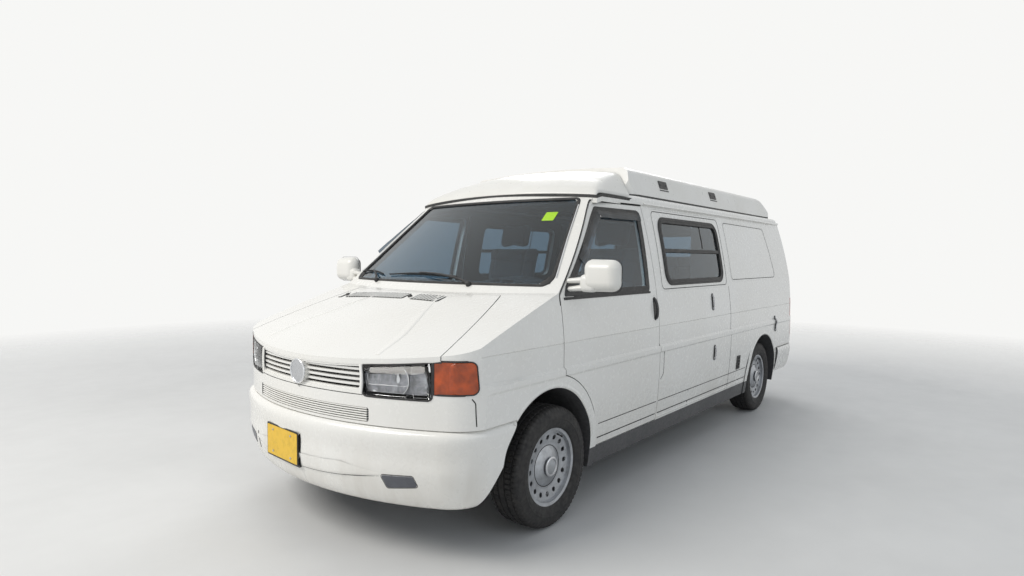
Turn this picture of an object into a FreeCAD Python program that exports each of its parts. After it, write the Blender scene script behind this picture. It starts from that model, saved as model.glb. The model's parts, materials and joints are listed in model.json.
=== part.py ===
import FreeCAD, Part
import Sketcher
import math
import os
import re
from types import SimpleNamespace
from FreeCAD import Placement, Rotation, Vector

# Camper van with a rear-hinged lifting roof, left-hand drive.
# The front looks along -X, the driver's side is -Y, the ground is z = 0 and the
# origin is on the ground under the middle of the van.

doc = FreeCAD.newDocument("camper_van")

sizes = {
    # whole van
    "overall_length": 5189,
    "front_overhang": 930,
    "wheelbase": 3320,
    "body_width": 1844,
    "track_front": 1589,
    "track_rear": 1554,
    "hub_height": 316,
    # side section: heights, and how far each lies inside the widest point
    "sill_height": 230,
    "sill_tuck": 50,
    "flank_height": 500,
    "flank_tuck": 19,
    "swage_height": 780,
    "swage_tuck": 7,
    "swage_rise": 12,
    "swage_band": 26,
    "groove_height": 956,
    "groove_half": 3,
    "groove_depth": 4,
    "shoulder_height": 832,
    "shoulder_tuck": 15,
    "belt_height": 975,
    "belt_tuck": 16,
    "glass_bulge_height": 1375,
    "glass_bulge_tuck": 67,
    "gutter_height": 1750,
    "gutter_tuck": 150,
    "gutter_lip": 12,
    "gutter_depth": 16,
    "roof_shoulder_height": 1798,
    "roof_shoulder_tuck": 172,
    "roof_edge_height": 1812,
    "roof_edge_tuck": 210,
    "roof_crown_height": 1838,
    # the greenhouse narrows forwards from the front door's rear edge
    "narrow_front_back": 560,
    "narrow_gutter": 80,
    "narrow_bulge": 20,
    # plan
    "nose_inset": 25,
    "nose_radius": 1650,
    "nose_corner_radius": 232,
    "tail_inset": 30,
    "tail_corner_radius": 110,
    # tail profile
    "tail_knee_height": 900,
    "tail_rake": 120,
    "tail_top_height": 1760,
    "tail_bulge": 22,
    "tail_overlap": 1,
    "tail_roof_radius": 80,
    # bonnet surface: height on the centre line and crown
    "bonnet_nose_height": 922,
    "bonnet_middle_back": -500,
    "bonnet_middle_height": 1075,
    "bonnet_cowl_back": -90,
    "bonnet_cowl_height": 1213,
    "bonnet_crown_radius": 8800,
    "bonnet_thickness": 22,
    "bonnet_front_half": 782,
    "bonnet_front_back": -736,
    "bonnet_waist_half": 720,
    "bonnet_waist_back": -466,
    "bonnet_rear_half": 590,
    "cowl_strip": 62,
    # windscreen
    "screen_base_back": -91,
    "screen_base_height": 1232,
    "screen_top_back": 527,
    "screen_top_height": 1764,
    "screen_radius": 2466,
    "screen_half_base": 806,
    "screen_half_top": 640,
    "screen_corner_radius": 60,
    "screen_frame": 22,
    # walls, gaps and glass
    "wall": 55,
    "panel_thickness": 45,
    "seal_gap": 0.3,
    "shut_gap": 5,
    "flange_width": 20,
    "glass_thickness": 5,
    "glass_setback": 4,
    "roof_wall": 38,
    "firewall_back": 72,
    "firewall_thickness": 40,
    "bay_half": 470,
    # wheel arches
    "arch_front_centre_back": -55,
    "arch_front_radius": 398,
    "arch_front_centre_height": 339,
    "arch_slant_high_back": -440,
    "arch_slant_low_back": -575,
    "arch_slant_low_height": 250,
    "arch_front_inner_half": 500,
    "arch_rear_radius": 380,
    "arch_rear_centre_height": 330,
    "arch_rear_inner_half": 650,
    "arch_liner": 12,
    "flare_width": 62,
    "flare_proud": 6,
    "arm_window_half": 170,
    "arm_window_height": 480,
    # front door outline, measured back from the front axle
    "door_front_back": 60,
    "door_kink_height": 1200,
    "door_top_front_back": 616,
    "door_top_height": 1738,
    "door_top_rear_back": 1128,
    "door_rear_back": 1164,
    "door_bottom_height": 340,
    "door_flare_radius": 468,
    "door_top_radius": 40,
    # front door glass
    "door_glass_front_back": 188,
    "door_glass_front_height": 1290,
    "door_glass_base_height": 1192,
    "door_glass_rear_back": 1053,
    "door_glass_rear_top_back": 1088,
    "door_glass_top_height": 1698,
    "door_glass_top_front_back": 634,
    "door_glass_radius": 28,
    # side glass behind the doors
    "middle_glass_front_back": 1332,
    "middle_glass_rear_back": 2352,
    "rear_glass_front_back": 2560,
    "rear_glass_rear_back": 3640,
    "side_glass_base_height": 1234,
    "side_glass_top_height": 1664,
    "side_glass_radius": 75,
    # sliding door on the right
    "slide_front_back": 1176,
    "slide_rear_back": 2452,
    # tailgate
    "tailgate_half": 745,
    "tailgate_bottom_height": 560,
    "tailgate_top_height": 1758,
    "tailgate_radius": 60,
    "gate_hinge_back": 4112,
    "gate_hinge_height": 1760,
    "gate_swing_radius": 51,
    "tailgate_glass_half": 610,
    "tailgate_glass_base_height": 1180,
    "tailgate_glass_top_height": 1660,
    "tailgate_glass_radius": 60,
    # nose: lamps and grilles
    "lamp_inner_half": 428,
    "lamp_outer_half": 745,
    "lamp_base_height": 764,
    "lamp_depth": 70,
    "indicator_rear_back": -628,
    "indicator_base_height": 792,
    "grille_half": 420,
    "grille_base_height": 778,
    "grille_corner_radius": 45,
    "grille_depth": 26,
    "grille_slats": 5,
    "grille_slat_height": 11,
    "badge_radius": 58,
    "badge_height": 837,
    "intake_half": 452,
    "intake_base_height": 646,
    "intake_top_height": 712,
    "intake_slats": 6,
    "intake_slat_height": 5,
    "nose_wall": 55,
    # bumpers
    "bumper_top_height": 629,
    "bumper_base_height": 262,
    "bumper_proud": 25,
    "bumper_wall": 32,
    "bumper_gap": 5,
    "bumper_chin_tuck": 60,
    "bumper_mid_height": 450,
    "rear_bumper_top_height": 545,
    "rear_bumper_base_height": 300,
    "rear_bumper_front_back": 3720,
    "rear_bumper_proud": 30,
    # lifting roof
    "lid_front_back": 1080,
    "lid_rear_back": 4090,
    "lid_half": 720,
    "lid_base_height": 1824,
    "lid_shoulder_height": 1975,
    "lid_shoulder_half": 668,
    "lid_edge_height": 2009,
    "lid_edge_half": 590,
    "lid_crown_height": 2032,
    "lid_front_rake": 60,
    "lid_rear_rake": 240,
    "lid_corner_radius": 120,
    "lid_wall": 24,
    "lid_clearance": 3,
    "lid_seal_width": 30,
    "roof_opening_front_back": 1250,
    "roof_opening_rear_back": 3700,
    "roof_opening_half": 600,
    "tent_inset": 36,
    "tent_wall": 26,
    "tent_height": 92,
    # roof fairing ahead of the lifting roof
    "fairing_front_back": 560,
    "fairing_gap": 12,
    # wheels
    "tyre_width": 205,
    "tyre_bead_half": 66,
    "tyre_bulge_radius": 250,
    "tyre_shoulder_radius": 300,
    "tyre_shoulder_half": 96,
    "tyre_tread_half": 70,
    "rim_seat_radius": 190.2,
    "rim_flange_radius": 208,
    "rim_half_width": 82,
    "rim_wall": 4.5,
    "rim_well_radius": 172,
    "rim_well_half": 22,
    "rim_well_slope": 14,
    "rim_hub_face": 44,
    "disc_rise": 16,
    "disc_dip": 6,
    "disc_turn": 14,
    "cap_step": 14,
    "rim_hole_circle": 150,
    "rim_hole_radius": 13,
    "rim_holes": 16,
    "rim_cap_radius": 106,
    "rim_cap_dome": 26,
    # steering and suspension
    "kingpin_lower_drop": 112,
    "kingpin_upper_rise": 112,
    "kingpin_radius": 9,
    "kingpin_clearance": 0.5,
    "arm_thickness": 26,
    "brake_radius": 136,
    "brake_thickness": 14,
    "drum_radius": 125,
    "drum_inboard": 10,
    "trailing_overrun": 50,
    "hub_clearance": 0.5,
    # floor and underbody
    "floor_height": 440,
    "floor_thickness": 40,
    "rail_height": 90,
    "rail_width": 70,
    "rail_half": 420,
    "floor_rear_back": 4150,
    "lamp_corner_radius": 22,
    "lamp_gap": 4,
    "indicator_top_height": 942,
    "dash_shelf_back": -60,
    "dash_half": 800,
    "dash_shelf_height": 1190,
    "screen_rise_depth": 900,
    "tail_lamp_base_height": 640,
    "tail_lamp_top_height": 1010,
    "tail_lamp_front_back": 4150,
    "tail_lamp_inner_half": 768,
    "lid_tail_run": 300,
    "lid_tail_drop": 60,
    "bumper_nose_roll": 14,
    "badge_thickness": 9,
    "slat_setback": 8,
    "slat_depth": 18,
    "radiator_front_back": -785,
    "radiator_thickness": 46,
    "radiator_half": 350,
    "radiator_top_height": 880,
    "beam_front_back": -790,
    "beam_length": 120,
    "crossmember_half": 130,
    "crossmember_base_height": 188,
    "crossmember_thickness": 50,
    "crossmember_half_width": 345,
    "arm_base_half": 66,
    "arm_neck": 27,
    "arm_root": 20,
    "arm_neck_inboard": 190,
    "shaft_radius": 14,
    "joint_radius": 36,
    "joint_inboard": 62,
    "joint_length": 70,
    "carrier_radius": 45,
    "carrier_inboard": 34,
    "engine_front_back": -560,
    "engine_rear_back": -150,
    "engine_half": 340,
    "engine_base_height": 245,
    "engine_top_height": 860,
    "gearbox_half": 210,
    "gearbox_top_height": 430,
    "gearbox_rear_back": 20,
    "trailing_pivot_forward": 470,
    "trailing_inboard": 575,
    "trailing_width": 56,
    "trailing_height": 84,
    "cross_tube_radius": 34,
    "spring_radius": 52,
    "spring_forward": 170,
    "tank_front_back": 1250,
    "tank_rear_back": 1950,
    "tank_half": 330,
    "tank_depth": 190,
    "tank_round": 30,
    "silencer_radius": 70,
    "silencer_front_back": 2150,
    "silencer_rear_back": 2600,
    "silencer_across": 120,
    "silencer_height": 240,
    "pipe_radius": 24,
    "pipe_lead": 120,
    "hanger_width": 30,
    "pipe_rear_back": 4180,
    "dash_rear_back": 395,
    "dash_base_height": 860,
    "dash_top_height": 1205,
    "dash_lip_height": 1030,
    "wheel_across": 430,
    "wheel_back": 590,
    "wheel_height": 1105,
    "wheel_radius": 190,
    "wheel_grip": 15,
    "wheel_tilt": 32,
    "column_radius": 30,
    "column_length": 830,
    "column_drop": 10,
    "horn_pad_radius": 57,
    "horn_pad_thickness": 40,
    "horn_pad_drop": 45,
    "spoke_drop": 12,
    "spoke_radius": 12,
    "seat_across": 440,
    "seat_front_back": 700,
    "seat_length": 500,
    "seat_width": 500,
    "seat_base_height": 745,
    "seat_cushion": 130,
    "seat_gap": 10.5,
    "seat_round": 36,
    "seat_back_width": 470,
    "seat_back_sink": 72,
    "seat_back_height": 620,
    "seat_back_thickness": 120,
    "seat_recline": 14,
    "headrest_width": 270,
    "headrest_height": 190,
    "headrest_thickness": 90,
    "headrest_round": 27,
    "pedestal_margin": 70,
    "bench_front_back": 2720,
    "bench_length": 520,
    "bench_left_half": 400,
    "bench_right_half": 610,
    "bench_base_height": 760,
    "bench_cushion": 104,
    "bench_back_height": 590,
    "kitchen_front_back": 1430,
    "kitchen_rear_back": 2540,
    "kitchen_inner_half": 440,
    "kitchen_top_height": 1190,
    "wardrobe_rear_back": 3000,
    "wardrobe_inner_half": 520,
    "wardrobe_top_height": 1690,
    "mirror_back": 165,
    "mirror_across": 1048,
    "mirror_height": 1300,
    "mirror_depth": 100,
    "mirror_width": 205,
    "mirror_tall": 172,
    "mirror_round": 38,
    "mirror_arm_radius": 14,
    "mirror_arm_spread": 24,
    "mirror_arm_drop": 43,
    "mirror_arm_root": 10,
    "shaft_clearance": 7,
}

stations = {
    "front_axle": "=front_overhang - overall_length / 2",
    "rear_axle": "=front_axle + wheelbase",
    "floor_underside": "=floor_height - floor_thickness - seal_gap",
    "floor_top": "=floor_height + seal_gap",
}

sheet = doc.addObject("Spreadsheet::Sheet", "sizes")
for row, (name, value) in enumerate([*sizes.items(), *stations.items()], start=1):
    sheet.set("A%d" % row, name)
    sheet.set("B%d" % row, str(value))
    sheet.setAlias("B%d" % row, name)
doc.recompute()
dim = SimpleNamespace(**{name: float(sheet.get(name)) for name in [*sizes, *stations]})

front_axle = dim.front_axle
rear_axle = dim.rear_axle
half_width = dim.body_width / 2
sides = {"left": -1, "right": 1}
far = dim.overall_length


def at(back):
    """Station measured back from the front axle."""
    return front_axle + back


def in_plan(height):
    return lambda across, along: Vector(along, across, height)


def in_section(along):
    return lambda across, height: Vector(along, across, height)


def in_profile(across):
    return lambda along, height: Vector(along, across, height)


def outline(place, start, steps):
    """Closed wire. A step is a point, or a pair of the arc's middle and end."""
    edges = []
    here = place(*start)
    for step in steps:
        curved = isinstance(step[0], tuple)
        there = place(*(step[1] if curved else step))
        if curved:
            edges.append(Part.Arc(here, place(*step[0]), there).toShape())
        else:
            edges.append(Part.LineSegment(here, there).toShape())
        here = there
    first = place(*start)
    if here.distanceToPoint(first) > 0.001:
        edges.append(Part.LineSegment(here, first).toShape())
    return Part.Wire(edges)


def mirrored_outline(place, start, steps, crown=None, keel=None):
    """Outline symmetric about the first coordinate, given on its positive side."""
    back_steps = []
    ends = [start] + [step[1] if isinstance(step[0], tuple) else step for step in steps]
    for index in range(len(steps) - 1, -1, -1):
        end = (-ends[index][0], ends[index][1])
        if isinstance(steps[index][0], tuple):
            middle = steps[index][0]
            back_steps.append(((-middle[0], middle[1]), end))
        else:
            back_steps.append(end)
    top = (-ends[-1][0], ends[-1][1])
    across = [(crown, top)] if crown else [top]
    closing = [(keel, start)] if keel else []
    return outline(place, start, list(steps) + across + back_steps + closing)


def prism(wire, direction):
    return Part.Face(wire).extrude(direction)


def block(x_low, x_high, y_low, y_high, z_low, z_high):
    return Part.makeBox(x_high - x_low, y_high - y_low, z_high - z_low, Vector(x_low, y_low, z_low))


def on_side(shape, side):
    """A shape drawn for the left side, mirrored when it is wanted on the right."""
    return shape if side < 0 else shape.mirror(Vector(), Vector(0, 1, 0))


def rounded_outline(place, corners, radius):
    """Closed wire through the corners, each rounded by a tangent arc."""
    steps = []
    count = len(corners)
    for index in range(count):
        before = Vector(*corners[index - 1], 0)
        corner = Vector(*corners[index], 0)
        after = Vector(*corners[(index + 1) % count], 0)
        into = (before - corner).normalize()
        out = (after - corner).normalize()
        turn = into.getAngle(out)
        reach = radius / math.tan(turn / 2)
        inward = (into + out).normalize()
        centre = corner + inward * (radius / math.sin(turn / 2))
        middle = centre - inward * radius
        start = corner + into * reach
        end = corner + out * reach
        steps.append(((start.x, start.y), (middle.x, middle.y), (end.x, end.y)))
    path = []
    for start, middle, end in steps:
        path.append(start)
        path.append((middle, end))
    return outline(place, path[0], path[1:])


def grown(wire, distance):
    return wire.makeOffset2D(distance, 2)


# Body envelope


def upper_wire(inset, along, narrow):
    """Greenhouse and roof in cross-section from the belt up; narrow is 0 to 1."""
    half = half_width - inset
    roof = inset * dim.roof_wall / dim.wall
    tuck = narrow * dim.narrow_gutter
    bulge = (half - dim.glass_bulge_tuck - narrow * dim.narrow_bulge, dim.glass_bulge_height)
    gutter = half - dim.gutter_tuck - tuck
    steps = [(bulge, (gutter, dim.gutter_height))]
    if inset == 0:
        steps.append((gutter + dim.gutter_lip, dim.gutter_height))
        steps.append((gutter + dim.gutter_lip, dim.gutter_height + dim.gutter_depth))
        steps.append((gutter - dim.gutter_lip, dim.gutter_height + dim.gutter_depth))
    shoulder = (half - dim.roof_shoulder_tuck - tuck, dim.roof_shoulder_height - roof)
    edge = (half - dim.roof_edge_tuck - tuck, dim.roof_edge_height - roof)
    steps.append((shoulder, edge))
    start = (half - dim.belt_tuck, dim.belt_height)
    return mirrored_outline(in_section(along), start, steps, crown=(0, dim.roof_crown_height - roof))


def section(inset):
    """Cross-section of the sides and roof, run along the whole van."""
    half = half_width - inset
    steps = []
    if inset:
        steps.append((half - dim.sill_tuck, dim.sill_height))
    steps.append(((half - dim.flank_tuck, dim.flank_height), (half - dim.swage_tuck, dim.swage_height)))
    if inset == 0:
        steps.append((half, dim.swage_height + dim.swage_rise))
        steps.append((half, dim.swage_height + dim.swage_rise + dim.swage_band))
    steps.append((half - dim.shoulder_tuck, dim.shoulder_height))
    if inset == 0:
        lip = half - dim.shoulder_tuck
        steps.append((lip, dim.groove_height - dim.groove_half))
        steps.append((lip - dim.groove_depth, dim.groove_height))
        steps.append((lip, dim.groove_height + dim.groove_half))
    steps.append((half - dim.belt_tuck, dim.belt_height))
    start = (half - dim.sill_tuck, dim.sill_height if inset == 0 else 0)
    lower = prism(mirrored_outline(in_section(-far), start, steps), Vector(2 * far, 0, 0))
    front = at(dim.narrow_front_back)
    rear = at(dim.door_rear_back)
    nose = prism(upper_wire(inset, -far, 1), Vector(front + far, 0, 0))
    taper = Part.makeLoft([upper_wire(inset, front, 1), upper_wire(inset, rear, 0)], True, True)
    tail = prism(upper_wire(inset, rear, 0), Vector(far, 0, 0))
    return lower.fuse([nose, taper, tail])


def plan(inset):
    """Plan of the nose and tail, run up the whole height."""
    half = half_width + 2 - inset
    nose = -dim.overall_length / 2 + dim.nose_inset + inset
    radius = dim.nose_radius - inset
    corner = dim.nose_corner_radius - inset
    reach = half - corner
    tilt = math.asin(reach / (radius - corner))
    start_half = radius * math.sin(tilt)
    start_along = nose + radius * (1 - math.cos(tilt))
    centre_along = nose + radius - (radius - corner) * math.cos(tilt)
    halfway = (math.pi / 2 + tilt) / 2
    middle = (reach + corner * math.sin(halfway), centre_along - corner * math.cos(halfway))
    tail = dim.overall_length / 2 - dim.tail_inset - inset
    bend = dim.tail_corner_radius
    rear_middle = (half - bend + bend * math.sqrt(0.5), tail - bend + bend * math.sqrt(0.5))
    steps = [(rear_middle, (half, tail - bend)),
             (half, centre_along),
             (middle, (start_half, start_along))]
    wire = mirrored_outline(in_plan(0), (half - bend, tail), steps, crown=(0, nose))
    return prism(wire, Vector(0, 0, 2 * dim.lid_crown_height))


def profile(inset):
    """Side profile of the tail, run across the van."""
    tail = dim.overall_length / 2 - dim.tail_inset - inset
    lean = tail - dim.tail_rake
    knee = dim.tail_knee_height
    middle_height = (knee + dim.tail_top_height) / 2
    middle = ((tail + lean) / 2 + dim.tail_bulge, middle_height)
    bend = dim.tail_roof_radius
    top = dim.roof_crown_height + 2
    roof_middle = (lean - bend * 0.25, top - bend * 0.25)
    foot = tail + dim.tail_overlap
    steps = [(foot, knee), (middle, (lean, dim.tail_top_height)), (roof_middle, (lean - bend, top)), (-far, top)]
    wire = outline(in_profile(-far), (foot, 0), [*steps, (-far, 0)])
    return prism(wire, Vector(0, 2 * far, 0))


screen_run = dim.screen_top_back - dim.screen_base_back
screen_rise = dim.screen_top_height - dim.screen_base_height
screen_slope = math.hypot(screen_run, screen_rise)


def screen(inset):
    """All that lies behind the windscreen's curved sheet, carried on up and down."""
    drop = dim.screen_base_height
    back = at(dim.screen_base_back) - drop * screen_run / screen_rise + inset * screen_slope / screen_rise
    reach = dim.body_width
    sag = dim.screen_radius - math.sqrt(dim.screen_radius ** 2 - reach ** 2)
    steps = [((0, back), (-reach, back + sag)), (-reach, 3 * far), (reach, 3 * far)]
    wire = outline(in_plan(0), (reach, back + sag), steps)
    height = 2 * dim.lid_crown_height
    return prism(wire, Vector(height * screen_run / screen_rise, 0, height))


def bonnet_block(drop):
    """Everything under the crowned bonnet surface, let down by drop."""
    reach = half_width + 30
    sag = reach ** 2 / (2 * dim.bonnet_crown_radius)
    nose = dim.nose_inset - dim.front_overhang
    rise = (dim.bonnet_middle_height - dim.bonnet_nose_height) / (dim.bonnet_middle_back - nose)
    cowl_run = dim.bonnet_cowl_back - dim.bonnet_middle_back
    cowl_rise = (dim.bonnet_cowl_height - dim.bonnet_middle_height) / cowl_run
    run_on = 300
    stations = [(nose - run_on, dim.bonnet_nose_height - rise * run_on * 1.1),
                (nose, dim.bonnet_nose_height),
                (dim.bonnet_middle_back, dim.bonnet_middle_height),
                (dim.bonnet_cowl_back, dim.bonnet_cowl_height),
                (dim.bonnet_cowl_back + run_on, dim.bonnet_cowl_height + cowl_rise * run_on * 0.95)]
    wires = []
    for back, height in stations:
        top = height - drop
        edge = (reach, top - sag)
        wires.append(mirrored_outline(in_section(at(back)), (reach, 0), [edge], crown=(0, top)))
    return Part.makeLoft(wires, True, False)


class Envelope:
    """The van's outer skin moved in by a distance."""

    def __init__(self, inset):
        self.sides = section(inset).common(plan(inset))
        self.cabin = self.sides.common(profile(inset)).common(screen(inset))


skin = Envelope(0)
hull = skin.sides.common(bonnet_block(0)).common(block(-far, at(400), -far, far, 0, far)).fuse(skin.cabin)
hull = hull.removeSplitter()
panel_back = Envelope(dim.panel_thickness)
flange_front = Envelope(dim.panel_thickness + dim.seal_gap)
inner = Envelope(dim.wall)
glass_front = Envelope(dim.glass_setback)
glass_back = Envelope(dim.glass_setback + dim.glass_thickness)


def arch_wire(across, centre_back, centre_height, radius, slant):
    """Wheel arch in side view, open downwards, with a slanted front edge at the front bumper."""
    centre = at(centre_back)
    low = -10
    steps = [(centre + radius, centre_height)]
    if slant:
        reach = centre - at(dim.arch_slant_high_back)
        height = centre_height + math.sqrt(radius ** 2 - reach ** 2)
        turn = math.atan2(height - centre_height, -reach)
        middle = (centre + radius * math.cos(turn / 2), centre_height + radius * math.sin(turn / 2))
        steps.append((middle, (centre - reach, height)))
        steps.append((at(dim.arch_slant_low_back), dim.arch_slant_low_height))
        steps.append((at(dim.arch_slant_low_back), low))
    else:
        steps.append(((centre, centre_height + radius), (centre - radius, centre_height)))
        steps.append((centre - radius, low))
    return outline(in_profile(across), (centre + radius, low), steps)


def arch_space(side, front, grow):
    """Room for a wheel, from its inner wall out through the side."""
    inner_half = dim.arch_front_inner_half if front else dim.arch_rear_inner_half
    if front:
        wire = arch_wire(-inner_half, dim.arch_front_centre_back, dim.arch_front_centre_height,
                         dim.arch_front_radius + grow, True)
    else:
        wire = arch_wire(-inner_half, dim.wheelbase, dim.arch_rear_centre_height,
                         dim.arch_rear_radius + grow, False)
    start = prism(wire, Vector(0, inner_half - half_width - 50, 0))
    start.translate(Vector(0, grow, 0))
    return on_side(start, side)


# Panel outlines, drawn in side view for the left


def door_wire():
    centre = at(dim.arch_front_centre_back)
    flare = dim.door_flare_radius
    height = dim.arch_front_centre_height
    front = at(dim.door_front_back)
    start_height = height + math.sqrt(flare ** 2 - (front - centre) ** 2)
    turn = math.atan2(start_height - height, front - centre) / 2
    middle = (centre + flare * math.cos(turn), height + flare * math.sin(turn))
    top = dim.door_top_height
    steps = [(front, dim.door_kink_height),
             (at(dim.door_top_front_back), top),
             (at(dim.door_top_rear_back), top),
             (at(dim.door_rear_back), dim.belt_height),
             (at(dim.door_rear_back), dim.door_bottom_height),
             (centre + flare, dim.door_bottom_height),
             (centre + flare, height),
             (middle, (front, start_height))]
    return outline(in_profile(-far), (front, start_height), steps)


def door_glass_wire():
    corners = [(at(dim.door_glass_front_back), dim.door_glass_base_height),
               (at(dim.door_glass_front_back), dim.door_glass_front_height),
               (at(dim.door_glass_top_front_back), dim.door_glass_top_height),
               (at(dim.door_glass_rear_top_back), dim.door_glass_top_height),
               (at(dim.door_glass_rear_back), dim.door_glass_base_height)]
    return rounded_outline(in_profile(-far), corners, dim.door_glass_radius)


def side_glass_wire(front_back, rear_back):
    base = dim.side_glass_base_height
    top = dim.side_glass_top_height
    corners = [(at(front_back), base), (at(front_back), top), (at(rear_back), top), (at(rear_back), base)]
    return rounded_outline(in_profile(-far), corners, dim.side_glass_radius)


def slide_wire():
    corners = [(at(dim.slide_front_back), dim.door_bottom_height), (at(dim.slide_front_back), dim.door_top_height),
               (at(dim.slide_rear_back), dim.door_top_height), (at(dim.slide_rear_back), dim.door_bottom_height)]
    return rounded_outline(in_profile(-far), corners, dim.door_top_radius)


def tailgate_wire():
    low = dim.tailgate_bottom_height
    top = dim.tailgate_top_height
    half = dim.tailgate_half
    narrow = half - 60
    corners = [(-half, low), (-narrow, top), (narrow, top), (half, low)]
    return rounded_outline(in_section(0), corners, dim.tailgate_radius)


def tailgate_glass_wire():
    low = dim.tailgate_glass_base_height
    top = dim.tailgate_glass_top_height
    half = dim.tailgate_glass_half
    corners = [(-half - 20, low), (-half, top), (half, top), (half + 20, low)]
    return rounded_outline(in_section(0), corners, dim.tailgate_glass_radius)


def bonnet_wire(grow):
    """Bonnet in plan, out past the nose."""
    front = dim.bonnet_front_half + grow
    waist = dim.bonnet_waist_half + grow
    rear = dim.bonnet_rear_half + grow
    rear_centre = at(dim.screen_base_back - dim.cowl_strip) + grow
    rear_edge = rear_centre + rear ** 2 / (2 * dim.screen_radius)
    nose = at(dim.bonnet_front_back)
    steps = [(front, nose), ((waist, at(dim.bonnet_waist_back)), (rear, rear_edge))]
    return mirrored_outline(in_plan(0), (front, -far), steps, crown=(0, rear_centre))


def through_side(wire, side):
    """A side-view outline carried through one wall of the van."""
    return on_side(prism(wire, Vector(0, far - dim.bay_half * 0.5, 0)), side)


def panel(wire, side):
    return hull.cut(panel_back.sides).common(through_side(wire, side))


def rebate(wire, side):
    """What a panel and its gap take out of the wall, leaving the flange it closes on."""
    gap = through_side(grown(wire, dim.shut_gap), side).cut(flange_front.sides)
    hole = through_side(grown(wire, -dim.flange_width), side)
    return gap.fuse(hole)


def pane(wire_prism):
    """Glass in the windscreen or the tail."""
    return glass_front.cabin.common(wire_prism).cut(glass_back.cabin)


def side_pane(wire_prism):
    return glass_front.sides.common(wire_prism).cut(glass_back.sides)


def loose(label, shape):
    item = doc.addObject("Part::Feature", label)
    item.Shape = shape
    return item


def add_shape(label, shape):
    item = loose(label, shape)
    item.Label = label
    parts.append(item)


parts = []
lamp_top = dim.bonnet_thickness + dim.shut_gap


def front_prism(wire):
    """A front-view outline carried back from ahead of the nose."""
    return prism(wire, Vector(front_axle - -far, 0, 0))


def headlamp_wire():
    low = dim.lamp_base_height
    high = dim.bonnet_cowl_height
    corners = [(dim.lamp_inner_half - 10, low), (dim.lamp_inner_half + 10, high),
               (dim.lamp_outer_half, high), (dim.lamp_outer_half, low)]
    return rounded_outline(in_section(-far), corners, dim.lamp_corner_radius)


def headlamp_room():
    room = front_prism(headlamp_wire()).common(bonnet_block(lamp_top)).cut(plan(dim.lamp_depth))
    return room.fuse(room.mirror(Vector(), Vector(0, 1, 0)))


def indicator_room():
    tail = at(dim.indicator_rear_back)
    low = dim.indicator_base_height
    high = dim.indicator_top_height
    middle = (tail + 28, (low + high) / 2)
    wire = outline(in_profile(-far), (-far, low), [(tail - 20, low), (middle, (tail - 10, high)), (-far, high)])
    under_lid = prism(bonnet_wire(dim.shut_gap), Vector(0, 0, far)).cut(bonnet_block(lamp_top))
    room = prism(wire, Vector(0, far - dim.lamp_outer_half - dim.lamp_gap, 0))
    room = room.cut([plan(dim.lamp_depth), under_lid])
    return room.fuse(room.mirror(Vector(), Vector(0, 1, 0)))


def nose_window(half, low, high, radius):
    corners = [(-half, low), (-half, high), (half, high), (half, low)]
    return front_prism(rounded_outline(in_section(-far), corners, radius)).cut(plan(2 * dim.nose_wall))


def grille_room(grow):
    half = dim.grille_half + grow
    low = dim.grille_base_height - grow
    high = dim.bonnet_cowl_height
    start = (half - dim.grille_corner_radius, low)
    spot = dim.grille_corner_radius * (1 - math.sqrt(0.5))
    middle = (half - spot, low + spot)
    steps = [(middle, (half, low + dim.grille_corner_radius)), (half + 5, high)]
    wire = mirrored_outline(in_section(-far), start, steps)
    return front_prism(wire).common(bonnet_block(lamp_top - grow)).cut(plan(2 * dim.nose_wall))


def intake_room(grow):
    return nose_window(dim.intake_half + grow, dim.intake_base_height - grow, dim.intake_top_height + grow, 12)


def screen_wire():
    low = dim.screen_base_height + dim.screen_frame
    high = dim.screen_top_height - dim.screen_frame / 2
    corners = [(-dim.screen_half_base, low), (-dim.screen_half_top, high),
               (dim.screen_half_top, high), (dim.screen_half_base, low)]
    return rounded_outline(in_section(at(dim.screen_base_back) - dim.wall), corners, dim.screen_corner_radius)


def rear_prism(wire):
    """A rear-view outline carried forward through the tail wall only."""
    start = wire.copy()
    start.translate(Vector(at(dim.floor_rear_back) - 250, 0, 0))
    return prism(start, Vector(far, 0, 0))


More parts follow.
